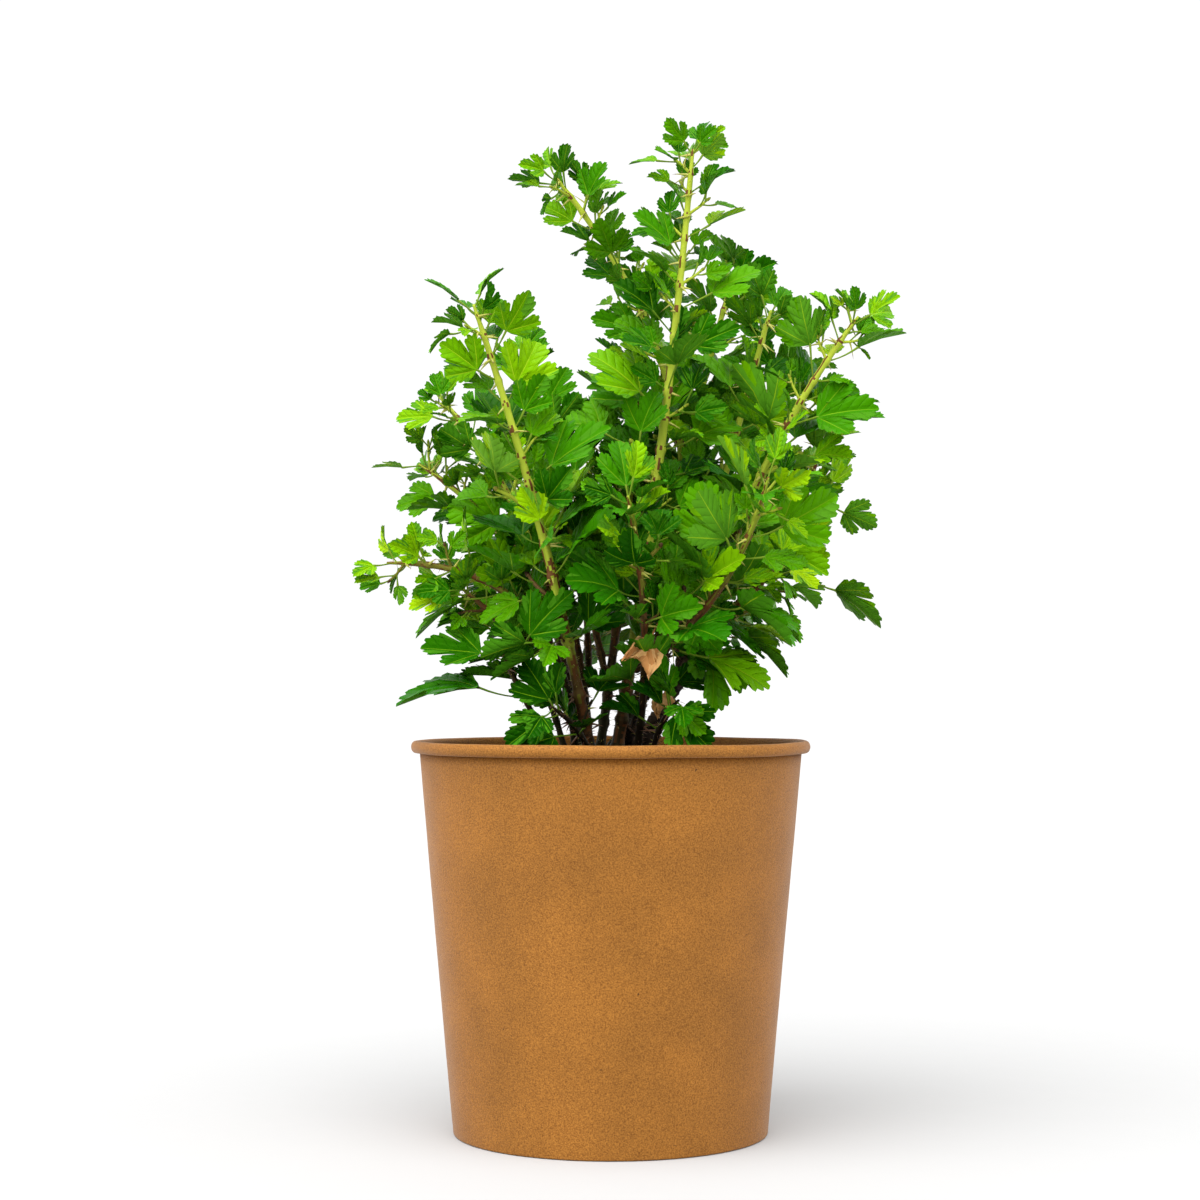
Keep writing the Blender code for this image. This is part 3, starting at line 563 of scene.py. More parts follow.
def plain_leaf(leaf, swell=1.0, skip=0.0):
    """Corners and faces of the solids' plain leaf, thickened by swell and short of a share of its stalk.

    The corners are the outline, the middle's top and underside, and the stalk's right, left and top.
    """
    across = leaf.along.cross(leaf.up)
    middle = leaf.joint + leaf.along * (LEAF_CENTRE * leaf.length)
    lift = leaf.up * (LEAF_THICK / 2 * swell)
    foot = leaf.foot.lerp(leaf.joint, skip)
    stalk = (leaf.joint - leaf.foot).normalized()
    right = (across - stalk * across.dot(stalk)).normalized() * STALK_HALF_WIDTH
    rise = right.cross(stalk).normalized() * STALK_DEPTH
    corners = []
    for x, y, z in LEAF_OUTLINE:
        corners.append(leaf.joint + (across * x + leaf.along * y + leaf.up * z) * leaf.length)
    corners += [middle + lift, middle - lift]
    corners += [foot + right - rise / 3, foot - right - rise / 3, foot + rise * 2 / 3]
    return corners, LEAF_FACES


class Crowd:
    """The shapes placed so far, which a new one has to stay clear of."""

    def __init__(self):
        self.shapes = []

    @staticmethod
    def ball(corners):
        middle = sum(corners, Vector()) / len(corners)
        return middle, max((corner - middle).length for corner in corners)

    def add(self, corners, faces):
        self.shapes.append((*self.ball(corners), BVHTree.FromPolygons(corners, faces)))

    def has_room(self, corners, faces):
        """Whether a shape stays above the pot and the soil, and touches nothing placed so far."""
        for corner in corners:
            outside = math.hypot(corner.x, corner.y) > POT_FOOT_RADIUS
            if corner.z < (LOWEST_LEAF if outside else SOIL_TOP + 2 * GAP):
                return False
        middle, reach = self.ball(corners)
        tree = BVHTree.FromPolygons(corners, faces)
        for other_middle, other_reach, other in self.shapes:
            if (other_middle - middle).length < reach + other_reach and tree.overlap(other):
                return False
        return True


class Site(NamedTuple):
    """Where a leaf or twig starts: on a stem, at a turn round it, and some way up the mass."""

    foot: Vector
    along: Vector
    turn: float
    share: float

    def outward(self):
        """The turn's direction, pressed to the sides where it would hide the stem from the front."""
        out = square_to(self.along, self.turn)
        if out.y < 0.0:
            out.y *= FRONT_SHARE
        return (out - self.along * out.dot(self.along)).normalized()


def draw_leaf(dice, site, size, droop, stalk_share):
    """A leaf on a rising stalk, which turns its face up and out of the bush, more or less."""
    out = site.outward()
    spread = SPREAD_LOW + (SPREAD_HIGH - SPREAD_LOW) * site.share
    spread += dice.uniform(-SPREAD_LOOSE, SPREAD_LOOSE)
    stalk = (site.along * math.cos(spread) + out * math.sin(spread)).normalized()
    usual = float(np.interp(site.share, SIZE_PLACES, SIZES))
    length = LEAF_LENGTH * size * usual * dice.uniform(*SIZE_LOOSE)
    joint = site.foot + stalk * length * dice.uniform(*STALK_LENGTH) * stalk_share
    rise = BLADE_UP - droop + dice.uniform(-BLADE_LOOSE, BLADE_LOOSE)
    blade = (stalk + out * BLADE_OUT + Vector((0.0, 0.0, rise))).normalized()
    away = (joint - MIDDLE) * Vector((1.0, 1.0, 0.0))
    loose = Vector((dice.uniform(-1.0, 1.0), dice.uniform(-1.0, 1.0), dice.uniform(*FACE_LOOSE_UP)))
    face = FACE_UP + away.normalized() * FACE_AWAY + loose * FACE_LOOSE
    face = (face - blade * face.dot(blade)).normalized()
    return Leaf(site.foot, joint, blade, face, length)


class Mass:
    """One mass of foliage: the leaves and twigs that a seeded rule gives its stem."""

    def __init__(self, name, cane, axis, crowd):
        self.name, self.cane, self.crowd = name, cane, crowd
        self.points = stem_line(cane, axis)[0]
        self.length = axis.length * (1.0 - cane.bare)
        self.leaves, self.twigs, self.nodes = [], [], []

    def site(self, distance, turn):
        """A place on the stem, some way up its straight runs from one point to the next."""
        share = distance / self.length
        along_runs = share * (len(self.points) - 1)
        run = min(int(along_runs), len(self.points) - 2)
        first, second = self.points[run], self.points[run + 1]
        return Site(first.lerp(second, along_runs - run), (second - first).normalized(), turn, share)

    def add_leaf(self, label, site, size=1.0, swell=SWELL, stalk_share=1.0):
        """Place a leaf where it has room, with another turn and a smaller size at each try."""
        for attempt in range(TRIES):
            dice = random.Random(f"{self.name} {label} {attempt}")
            turn = site.turn + dice.uniform(-TRY_TURN, TRY_TURN) * (1 + attempt)
            shrunk = size * self.cane.size * (1.0 - TRY_SHRINK * attempt)
            leaf = draw_leaf(dice, site._replace(turn=turn), shrunk, self.cane.droop, stalk_share)
            if self.crowd.has_room(*plain_leaf(leaf, swell, STALK_CLEAR)):
                self.crowd.add(*plain_leaf(leaf))
                tone = MIDDLE_TONE + dice.gauss(0.0, TONE_LOOSE) + TONE_ASIDE * abs(leaf.joint.x)
                # painted shade: leaves low in the bush get a deeper tone that stands in for the shade under
                # it
                tone -= PAINTED_SHADE_RATE * max(0.0, PAINTED_SHADE_BELOW - leaf.joint.z)
                self.leaves.append(leaf._replace(tone=tone))
                return

    def add_twig(self, label, site):
        """Place a side twig and its leaves, or say that it has no room."""
        dice = random.Random(f"{self.name} twig {label}")
        reach = dice.uniform(TWIG_SHORTEST, TWIG_LONGEST) * (TWIG_SHRINK - site.share)
        heading = site.along * TWIG_ALONG + site.outward() * TWIG_OUT + Vector((0.0, 0.0, TWIG_LIFT))
        heading.normalize()
        end = site.foot + heading * reach
        tested = tube_shape([site.foot.lerp(end, STALK_CLEAR), end], [2 * TWIG_RADIUS] * 2)
        if not self.crowd.has_room(*tested):
            return False
        self.twigs.append((site.foot, end, TWIG_RADIUS))
        share = site.share + TWIG_LEAF_AHEAD
        for number, place in enumerate(TWIG_LEAVES):
            turn = site.turn + number * GOLDEN_ANGLE
            on_twig = Site(site.foot.lerp(end, place), heading, turn, share)
            self.add_leaf(f"{label} twig {number}", on_twig, TWIG_LEAF_SIZE)
        self.crowd.add(*tube_shape([site.foot, end], [TWIG_RADIUS] * 2))
        return True

    def grow(self):
        """Leaves one by one round the stem, a twig at every third node, and a tuft at the tip."""
        start_turn = random.Random(self.name).uniform(0.0, 2.0 * math.pi)
        distance, node = FIRST_NODE, 0
        while distance < self.length:
            site = self.site(distance, start_turn + node * GOLDEN_ANGLE)
            self.nodes.append(site)
            wants_twig = node % TWIG_EVERY == 1 and site.share < TWIGS_END
            if not (wants_twig and self.add_twig(node, site)):
                self.add_leaf(node, site)
            distance += NODE_STEP_LOW + (NODE_STEP_HIGH - NODE_STEP_LOW) * site.share
            node += 1
        for number in range(TUFT):
            distance = self.length - TUFT_START - TUFT_STEP * number
            site = self.site(distance, number * GOLDEN_ANGLE)
            self.add_leaf(f"tip {number}", site, TUFT_LEAF_SIZE)

    def fill(self):
        """The finer growth: more leaves at each node, on spurs and on fine twigs."""
        for node, site in enumerate(self.nodes):
            open_below = OPEN_BASE + OPEN_SLOPE * max(0.0, site.foot.x - OPEN_SIDE)
            if abs(site.foot.x) > OPEN_MIDDLE and site.foot.z < open_below:
                continue
            dice = random.Random(f"{self.name} spur {node}")
            for extra in range(SPUR_LEAVES if site.share < SPURS_END else 1):
                turned = site._replace(turn=site.turn + math.pi * (SPUR_TURN + SPUR_TURN_STEP * extra))
                self.add_leaf(f"{node} spur {extra}", turned, dice.uniform(*SPUR_SIZES), FILL_SWELL)
            out = site._replace(turn=site.turn + dice.uniform(*FINE_TURN)).outward()
            heading = (site.along * FINE_ALONG + out + Vector((0.0, 0.0, FINE_LIFT))).normalized()
            end = site.foot + heading * dice.uniform(*FINE_TWIG)
            tested = tube_shape([site.foot.lerp(end, FINE_CLEAR), end], [FINE_TWIG_RADIUS] * 2)
            if not self.crowd.has_room(*tested):
                continue
            self.twigs.append((site.foot, end, FINE_TWIG_RADIUS))
            share = min(1.0, site.share + FINE_LEAF_AHEAD)
            for number, place in enumerate(FINE_LEAVES):
                turn = site.turn + number * GOLDEN_ANGLE
                on_twig = Site(site.foot.lerp(end, place), heading, turn, share)
                self.add_leaf(f"{node} fine {number}", on_twig, dice.uniform(*SPUR_SIZES), FILL_SWELL)
        dice = random.Random(f"{self.name} tip fill")
        for number in range(TIP_LEAVES):
            distance = self.length - TIP_STEP * (number + 0.5)
            site = self.site(distance, (number + TIP_TURN) * GOLDEN_ANGLE)
            self.add_leaf(f"tip fill {number}", site, dice.uniform(*TIP_SIZES), FILL_SWELL, TIP_STALK)


class Blade:
    """A leaf's blade as rays from its stalk and rings across them, in shares of its length."""

    def __init__(self, width, notch, grown):
        half = list(GROWN_HALF if grown else YOUNG_HALF)
        apex_at = GROWN_APEX if grown else YOUNG_APEX
        notch_at = GROWN_NOTCH if grown else YOUNG_NOTCH
        half[notch_at] = tuple(value * notch for value in half[notch_at])
        half = [(x * width, y) for x, y in half]
        apex = half[apex_at]
        self.ways = [Vector(end).normalized() for end in (apex, (0.0, 1.0), (-apex[0], apex[1]))]
        rays = []
        for number, point in enumerate(half):
            wide = number in (apex_at, len(half) - 1)
            rays += [(*point, 1), (*point, -1)] if wide else [(*point, 0)]
        self.rays = rays + [(-x, y, -shift) for x, y, shift in reversed(rays[:-2])]
        self.crinkle_shift = Vector((width * CRINKLE_SHIFT[0], notch * CRINKLE_SHIFT[1], 0.0))
        self.points, self.faces, self.slots = [], [], []
        top_rings, under_rings = GROWN_RINGS if grown else YOUNG_RINGS
        self.add_sheet(top_rings, 0.0)
        self.add_sheet(under_rings, -SHEET)
        self.pattern = [self.beside_vein(face) for face in self.faces]
        self.points, self.faces, self.slots = map(np.array, (self.points, self.faces, self.slots))
        self.reach = np.hypot(self.points[:, 0], self.points[:, 1])

    def relief(self, x, y):
        """The blade rises beside its main veins, as if it were pleated along them, and is crinkled."""
        nearest = 1.0
        for way in self.ways:
            along = max(0.0, x * way.x + y * way.y)
            nearest = min(nearest, math.hypot(x - way.x * along, y - way.y * along))
        panel = 1.0 - math.exp(-nearest / PANEL_REACH)
        crinkle = noise.noise(Vector((x, y, 0.0)) * CRINKLE_SCALE + self.crinkle_shift)
        crinkle *= min(1.0, nearest / CRINKLE_CLEAR)
        return PANEL_SLOPE * PANEL_REACH * panel + CRINKLE * crinkle

    def beside_vein(self, face):
        """For a triangle's corners: how far along the nearest main vein their side vein starts, and
        how far they are from that main vein."""
        corners = [self.points[corner] for corner in face]
        middle = Vector((sum(x for x, _, _ in corners) / 3, sum(y for _, y, _ in corners) / 3))
        way = max(self.ways, key=middle.dot)
        places = []
        for x, y, _ in corners:
            aside = abs(x * way.y - y * way.x)
            places.append((x * way.x + y * way.y - SIDE_VEIN_LEAN * aside, aside))
        return places

    def add_sheet(self, rings, offset):
        """One side of the blade. Both sides end on the same outline."""
        centre, count = len(self.points), len(self.rays)
        self.points.append((0.0, 0.0, offset))
        for share in rings:
            for x, y, shift in self.rays:
                side = shift * VEIN_HALF * (VEIN_TAPER - share) / math.hypot(x, y)
                px, py = x * share + y * side, y * share - x * side
                lift = offset if share < 1.0 else 0.0
                self.points.append((px, py, self.relief(px, py) + lift))
        under = offset < 0.0
        for number, ray in enumerate(self.rays):
            here, beside = centre + 1 + number, centre + 1 + (number + 1) % count
            corners = [(centre, here, beside)]
            for ring in range(len(rings) - 1):
                a, b = here + ring * count, beside + ring * count
                corners += [(a, a + count, b + count), (a, b + count, b)]
            for a, b, c in corners:
                self.faces.append((a, c, b) if under else (a, b, c))
                self.slots.append(2 * under + (ray[2] == 1))

    def shaped(self, dice, length):
        """The blade's points with a fold, twist, curl and waves of their own, in metres."""
        x, y, z = self.points.T.copy()
        z *= dice.uniform(*BLADE_LIFT)
        wave = dice.uniform(*BLADE_WAVE)
        turns = BLADE_WAVES * np.arctan2(x, y) + dice.uniform(0.0, WAVE_START)
        z += wave * self.reach ** 2 * np.sin(turns)
        fold = math.radians(dice.uniform(*BLADE_FOLD))
        z += np.abs(x) * math.sin(fold)
        x *= math.cos(fold)
        twist = dice.uniform(-BLADE_TWIST, BLADE_TWIST) * y
        x, z = x * np.cos(twist) - z * np.sin(twist), x * np.sin(twist) + z * np.cos(twist)
        curl = dice.uniform(*BLADE_CURL)
        bend = curl * y
        y = np.sin(bend) / curl + z * np.sin(bend)
        z = z * np.cos(bend) - (1.0 - np.cos(bend)) / curl
        return np.stack([x, y, z], axis=1) * length


def linked(name, data):
    """A new object in the scene."""
    made = bpy.data.objects.new(name, data)
    bpy.context.scene.collection.objects.link(made)
    return made


class Sheaf:
    """Collects many small shapes and makes one mesh of them."""

    def __init__(self):
        self.points, self.faces, self.slots, self.patterns, self.count = [], [], [], [], 0

    def add(self, points, faces, slots, pattern=None):
        if pattern:
            self.patterns.append(np.ravel(pattern))
        self.points.append(np.asarray(points, dtype=float))
        self.faces.append(np.asarray(faces, dtype=int) + self.count)
        self.slots.append(np.broadcast_to(np.asarray(slots, dtype=int), (len(faces),)))
        self.count += len(points)

    def make(self, name, coats, slot, *replaced):
        mesh = bpy.data.meshes.new(name)
        faces = np.concatenate(self.faces)
        mesh.from_pydata(np.concatenate(self.points).tolist(), [], faces.tolist())
        for coat in coats:
            mesh.materials.append(coat)
        mesh.polygons.foreach_set("material_index", np.concatenate(self.slots).astype(np.int32))
        if self.patterns:
            mesh.uv_layers.new(name="veins").uv.foreach_set("vector", np.concatenate(self.patterns))
        mesh.shade_smooth()
        mesh.update()
        made = linked(name, mesh)
        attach(made, "root")
        if replaced:
            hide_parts(*replaced)


def bands(rings, sides):
    """Triangles between each ring of corners and the next."""
    faces = []
    for ring in range(rings - 1):
        for number in range(sides):
            a, b = ring * sides + number, ring * sides + (number + 1) % sides
            faces += [(a, b, b + sides), (a, b + sides, a + sides)]
    return faces


def closed(corners, sides, ends):
    """Corners and triangles of a closed skin over rings of corners, with a point at each end."""
    first, last, top = len(corners), len(corners) + 1, len(corners) - sides
    faces = bands(len(corners) // sides, sides)
    for number in range(sides):
        beside = (number + 1) % sides
        faces += [(first, beside, number), (last, top + number, top + beside)]
    return [*corners, *ends], faces


def tube(points, radii, sides, bump=None):
    """Points and triangles of a closed round tube. bump gives the share that a place's radius gains."""
    corners, side = [], None
    for place, (point, radius) in enumerate(zip(points, radii)):
        ahead = (points[min(place + 1, len(points) - 1)] - points[max(place - 1, 0)]).normalized()
        side = ahead.orthogonal() if side is None else side - ahead * side.dot(ahead)
        side.normalize()
        other = ahead.cross(side)
        for number in range(sides):
            turn = 2.0 * math.pi * number / sides
            out = side * math.cos(turn) + other * math.sin(turn)
            gain = bump(place, turn) if bump else 0.0
            corners.append(point + out * radius * (1.0 + gain))
    return closed(corners, sides, (points[0], points[-1]))


def spike(foot, way, length, radius, bend, sides=4, steps=3):
    """Points and triangles of a thin curved cone, and a 1 for each triangle at its tip."""
    corners = []
    for step in range(steps):
        share = step / steps
        middle = foot + way * length * share + bend * length * share ** 2
        for number in range(sides):
            out = square_to(way, 2.0 * math.pi * number / sides)
            corners.append(middle + out * radius * (1.0 - share))
    corners.append(foot + way * length + bend * length)
    faces = bands(steps, sides)
    slots = [0] * len(faces) + [1] * sides
    last = sides * (steps - 1)
    faces += [(last + number, last + (number + 1) % sides, len(corners) - 1) for number in range(sides)]
    return corners, faces, slots


def feed(made, node, inputs):
    """Set inputs of a material's node to values, or join them to the outputs of other nodes."""
    for name, value in inputs.items():
        if isinstance(value, bpy.types.NodeSocket):
            made.node_tree.links.new(value, node.inputs[name])
        else:
            node.inputs[name].default_value = value


def add_node(made, kind, inputs, output):
    """One output of a new node in a material."""
    node = made.node_tree.nodes.new("ShaderNode" + kind)
    feed(made, node, inputs)
    return node.outputs[output]


def new_material(name, surface):
    """A material, its shader with these values, and a place in the piece's own space."""
    made = bpy.data.materials.new(name)
    made.use_nodes = True
    shader = made.node_tree.nodes["Principled BSDF"]
    feed(made, shader, surface)
    return made, shader, add_node(made, "TexCoord", {}, "Object")


def coat(name, colour, roughness, grain, relief, gloss, shine):
    """A plain colour whose roughness and fine relief come from a noise in the piece's own space."""
    surface = {"Base Color": (*colour, 1.0), "Specular IOR Level": gloss, "Specular Tint": (*shine, 1.0)}
    made, shader, place = new_material(name, surface)
    speckle = add_node(made, "TexNoise", {"Scale": grain, "Detail": COAT_DETAIL, "Vector": place}, "Fac")
    levels = {"To Min": roughness - ROUGH_LOOSE, "To Max": roughness + ROUGH_LOOSE, "Value": speckle}
    bump = {"Strength": COAT_STRENGTH, "Distance": relief, "Height": speckle}
    rough = add_node(made, "MapRange", levels, "Result")
    feed(made, shader, {"Roughness": rough, "Normal": add_node(made, "Bump", bump, "Normal")})
    return made


def coats(name):
    tones, *surface = COATS[name]
    return [coat(f"{name}_{number}", tone, *surface) for number, tone in enumerate(tones)]


def add_side_veins(made):
    """Fine grooves where the side veins run, and the blade swollen between them."""

    def worked(operation, *values):
        result = add_node(made, "Math", dict(enumerate(values)), "Value")
        result.node.operation = operation
        return result

    fine = next(node for node in made.node_tree.nodes if node.bl_idname == "ShaderNodeBump")
    place = add_node(made, "UVMap", {}, "UV")
    place.node.uv_map = "veins"
    along = add_node(made, "SeparateXYZ", {"Vector": place}, "X")
    wave = worked("SINE", worked("MULTIPLY", along, math.pi / SIDE_VEIN_STEP))
    swollen = worked("POWER", worked("ABSOLUTE", wave), SIDE_VEIN_ROUND)
    beside = worked("MULTIPLY", along.node.outputs["Y"], SIDE_VEIN_FADE)
    height = worked("MULTIPLY", swollen, worked("MINIMUM", beside, 1.0))
    bump = {"Strength": VEIN_STRENGTH, "Distance": VEIN_RELIEF, "Height": height}
    feed(made, fine, {"Normal": add_node(made, "Bump", bump, "Normal")})


def kraft_coat():
    """Brown paper: fine fibres, faint clouds, and a few dark flecks."""
    made, shader, place = new_material("kraft", KRAFT_SURFACE)

    def speckle(scale, detail, low, high):
        """A noise spread between two levels to the full range."""
        grain = add_node(made, "TexNoise", {"Scale": scale, "Detail": detail, "Vector": place}, "Fac")
        return add_node(made, "MapRange", {"From Min": low, "From Max": high, "Value": grain}, "Result")

    def blended(share, first, second):
        mix = made.node_tree.nodes.new("ShaderNodeMix")
        mix.data_type = "RGBA"
        feed(made, mix, {0: share, 6: first, 7: second})
        return mix.outputs[2]

    def paper(strength):
        tones = [(*(part * strength for part in tone), 1.0) for tone in (KRAFT_DARK, KRAFT_LIGHT)]
        return blended(fibres, *tones)

    fibres = speckle(*KRAFT_FIBRES)
    clouded = blended(speckle(*KRAFT_CLOUDS), paper(1.0), paper(KRAFT_CLOUD))
    flecked = blended(speckle(*KRAFT_FLECKS), clouded, (*KRAFT_FLECK, 1.0))
    bump = {"Strength": KRAFT_STRENGTH, "Distance": KRAFT_RELIEF, "Height": fibres}
    feed(made, shader, {"Base Color": flecked, "Normal": add_node(made, "Bump", bump, "Normal")})
    return made


def wall_radius(height):
    """Outside radius of the pot's wall, without its rim."""
    return POT_FOOT_RADIUS + (POT_TOP_RADIUS - POT_FOOT_RADIUS) * height / POT_HEIGHT


def pot_profile():
    """Radius and height all round the paper, from the underside over the rim to the inside floor."""
    profile = list(POT_UNDER)
    for step in range(FOOT_STEPS + 1):
        turn = math.radians(90.0 * step / FOOT_STEPS - 90.0)
        radius = POT_FOOT_RADIUS - POT_FOOT_ROUND * (1.0 - math.cos(turn))
        profile.append((radius, POT_FOOT_ROUND * (1.0 + math.sin(turn))))
    under_rim = POT_HEIGHT - RIM_DEEP - RIM_GROOVE / 2
    for step in range(1, WALL_STEPS + 1):
        height = POT_FOOT_ROUND + (under_rim - POT_FOOT_ROUND) * step / WALL_STEPS
        profile.append((wall_radius(height), height))
    groove = wall_radius(under_rim) - RIM_GROOVE
    profile += [(groove, under_rim + rise) for rise in GROOVE_RISES]
    middle, height = RIM_RADIUS - RIM_WIDE / 2, POT_HEIGHT - RIM_DEEP / 2
    for step in range(RIM_STEPS + 1):
        turn = math.radians(RIM_ARC[0] + (RIM_ARC[1] - RIM_ARC[0]) * step / RIM_STEPS)
        profile.append((middle + RIM_WIDE / 2 * math.cos(turn), height + RIM_DEEP / 2 * math.sin(turn)))
    for step in range(1, INSIDE_STEPS + 1):
        level = height + (POT_FLOOR - height) * step / INSIDE_STEPS
        profile.append((wall_radius(level) - POT_WALL, level))
    return profile


def make_pot():
    """The paper bucket, a little uneven, with its seam at the back."""
    corners = []
    for radius, height in pot_profile():
        for number in range(POT_SIDES):
            turn = 2.0 * math.pi * number / POT_SIDES
            way = Vector((math.cos(turn), math.sin(turn), 0.0))
            uneven = 0.0
            for around, upwards, depth in POT_UNEVEN:
                uneven += noise.noise(way * around + Vector((0.0, 0.0, height * upwards))) * depth
            lift = noise.noise(way * RIM_WAVES + RIM_SHIFT) * RIM_WAVE
            lift *= min(1.0, height / POT_HEIGHT) ** WAVE_POWER * (height > WAVE_ABOVE)
            past = (turn - math.pi / 2) * radius
            on_wall = SEAM_FOOT < height < POT_HEIGHT - RIM_DEEP
            on_wall = on_wall and radius > wall_radius(height) - POT_WALL / 2
            seam = SEAM_STEP * (1.0 - past / SEAM_WIDE) if on_wall and 0.0 <= past < SEAM_WIDE else 0.0
            reach = radius + uneven * min(1.0, height / EVEN_BELOW) * (radius > EVEN_WITHIN) + seam
            corners.append((way.x * reach, way.y * reach, height + lift))
    sheaf = Sheaf()
    sheaf.add(*closed(corners, POT_SIDES, ((0.0, 0.0, 0.0), (0.0, 0.0, POT_FLOOR))), 0)
    sheaf.make("pot_skin", [kraft_coat()], "kraft_paper", "pot")


def soil_height(x, y):
    """The soil is loose and uneven, and lies a little lower at the wall."""
    coarse, *coarse_way = SOIL_COARSE
    fine, *fine_way = SOIL_FINE
    place = Vector((x, y, 0.0))
    height = coarse * noise.fractal(place * coarse_way[0], *coarse_way[1:])
    height += fine * noise.fractal(place * fine_way[0] + SOIL_SHIFT, *fine_way[1:])
    edge = max(0.0, math.hypot(x, y) / SOIL_RADIUS - SOIL_FLAT) / (1.0 - SOIL_FLAT)
    return SOIL_TOP - SOIL_SHOULDER * edge ** 2 + SOIL_RELIEF * height


def soil_body():
    """Corners and triangles of the soil, and a 1 for each triangle of the lighter earth."""
    corners = [(0.0, 0.0, soil_height(0.0, 0.0))]
    turns = [2.0 * math.pi * number / SOIL_SIDES for number in range(SOIL_SIDES)]
    inside = wall_radius(SOIL_TOP) - POT_WALL - GAP
    for ring in range(1, SOIL_RINGS + 1):
        radius = inside * ring / SOIL_RINGS
        for turn in turns:
            x, y = radius * math.cos(turn), radius * math.sin(turn)
            corners.append((x, y, soil_height(x, y)))
    radius = wall_radius(SOIL_LOW) - POT_WALL - GAP
    corners += [(radius * math.cos(turn), radius * math.sin(turn), SOIL_LOW) for turn in turns]
    corners.append((0.0, 0.0, SOIL_LOW))
    faces = []
    for number in range(SOIL_SIDES):
        beside = (number + 1) % SOIL_SIDES
        faces.append((0, 1 + number, 1 + beside))
        for ring in range(SOIL_RINGS):
            a, b = 1 + ring * SOIL_SIDES + number, 1 + ring * SOIL_SIDES + beside
            faces += [(a, a + SOIL_SIDES, b + SOIL_SIDES), (a, b + SOIL_SIDES, b)]
        last = 1 + SOIL_RINGS * SOIL_SIDES
        faces.append((len(corners) - 1, last + beside, last + number))
    places = [Vector((*corners[face[1]][:2], 0.0)) for face in faces]
    return corners, faces, [int(noise.noise(place * SOIL_SPOTS) > SPOT_LEVEL) for place in places]


def make_soil():
    """The soil, with crumbs and short fibres strewn over it."""
    sheaf = Sheaf()
    sheaf.add(*soil_body())
    dice = random.Random("soil")
    ball = bmesh.new()
    bmesh.ops.create_icosphere(ball, subdivisions=1, radius=1.0)
    ball_points = [corner.co.copy() for corner in ball.verts]
    ball_faces = [tuple(corner.index for corner in face.verts) for face in ball.faces]
    ball.free()
    for number in range(CRUMBS):
        reach = CRUMBS_REACH * math.sqrt(dice.random())
        turn = dice.uniform(0.0, 2.0 * math.pi)
        x, y = reach * math.cos(turn), reach * math.sin(turn)
        size = CRUMB_SIZE + CRUMB_MORE * dice.random() ** 3
        squash = Vector([dice.uniform(*limits) for limits in (CRUMB_WIDE, CRUMB_WIDE, CRUMB_TALL)])
        middle = Vector((x, y, soil_height(x, y) + size * CRUMB_LIFT))
        shift = Vector((number * CRUMB_SHIFT, 0.0, 0.0))
        lump = []
        for point in ball_points:
            gain = 1.0 + CRUMB_LUMP * noise.noise(point * CRUMB_SCALE + shift)
            lump.append(middle + point * squash * size * gain)
        sheaf.add(lump, ball_faces, dice.choice(CRUMB_SLOTS))
    for _ in range(FIBRES):
        reach = FIBRES_REACH * math.sqrt(dice.random())
        turn = dice.uniform(0.0, 2.0 * math.pi)
        heading = dice.uniform(0.0, 2.0 * math.pi)
        length = dice.uniform(*FIBRE_LENGTH)
        line = []
        for step in range(len(FIBRE_RADII)):
            along = length * (step / (len(FIBRE_RADII) - 1) - 0.5)
            sway = heading + FIBRE_SWAY * math.sin(step * FIBRE_SWAYS + turn)
            x = reach * math.cos(turn) + along * math.cos(sway)
            y = reach * math.sin(turn) + along * math.sin(sway)
            line.append(Vector((x, y, soil_height(x, y) + FIBRE_LIFT + FIBRE_STEP * (step % 2))))
        sheaf.add(*tube(line, FIBRE_RADII, 3), dice.choice(FIBRE_SLOTS))
    sheaf.make("soil_surface", coats("earth"), "potting_soil", "soil")


def pick(tone, count):
    """The slot of a tone among so many."""
    return int(max(0, min(count - 1, tone)))


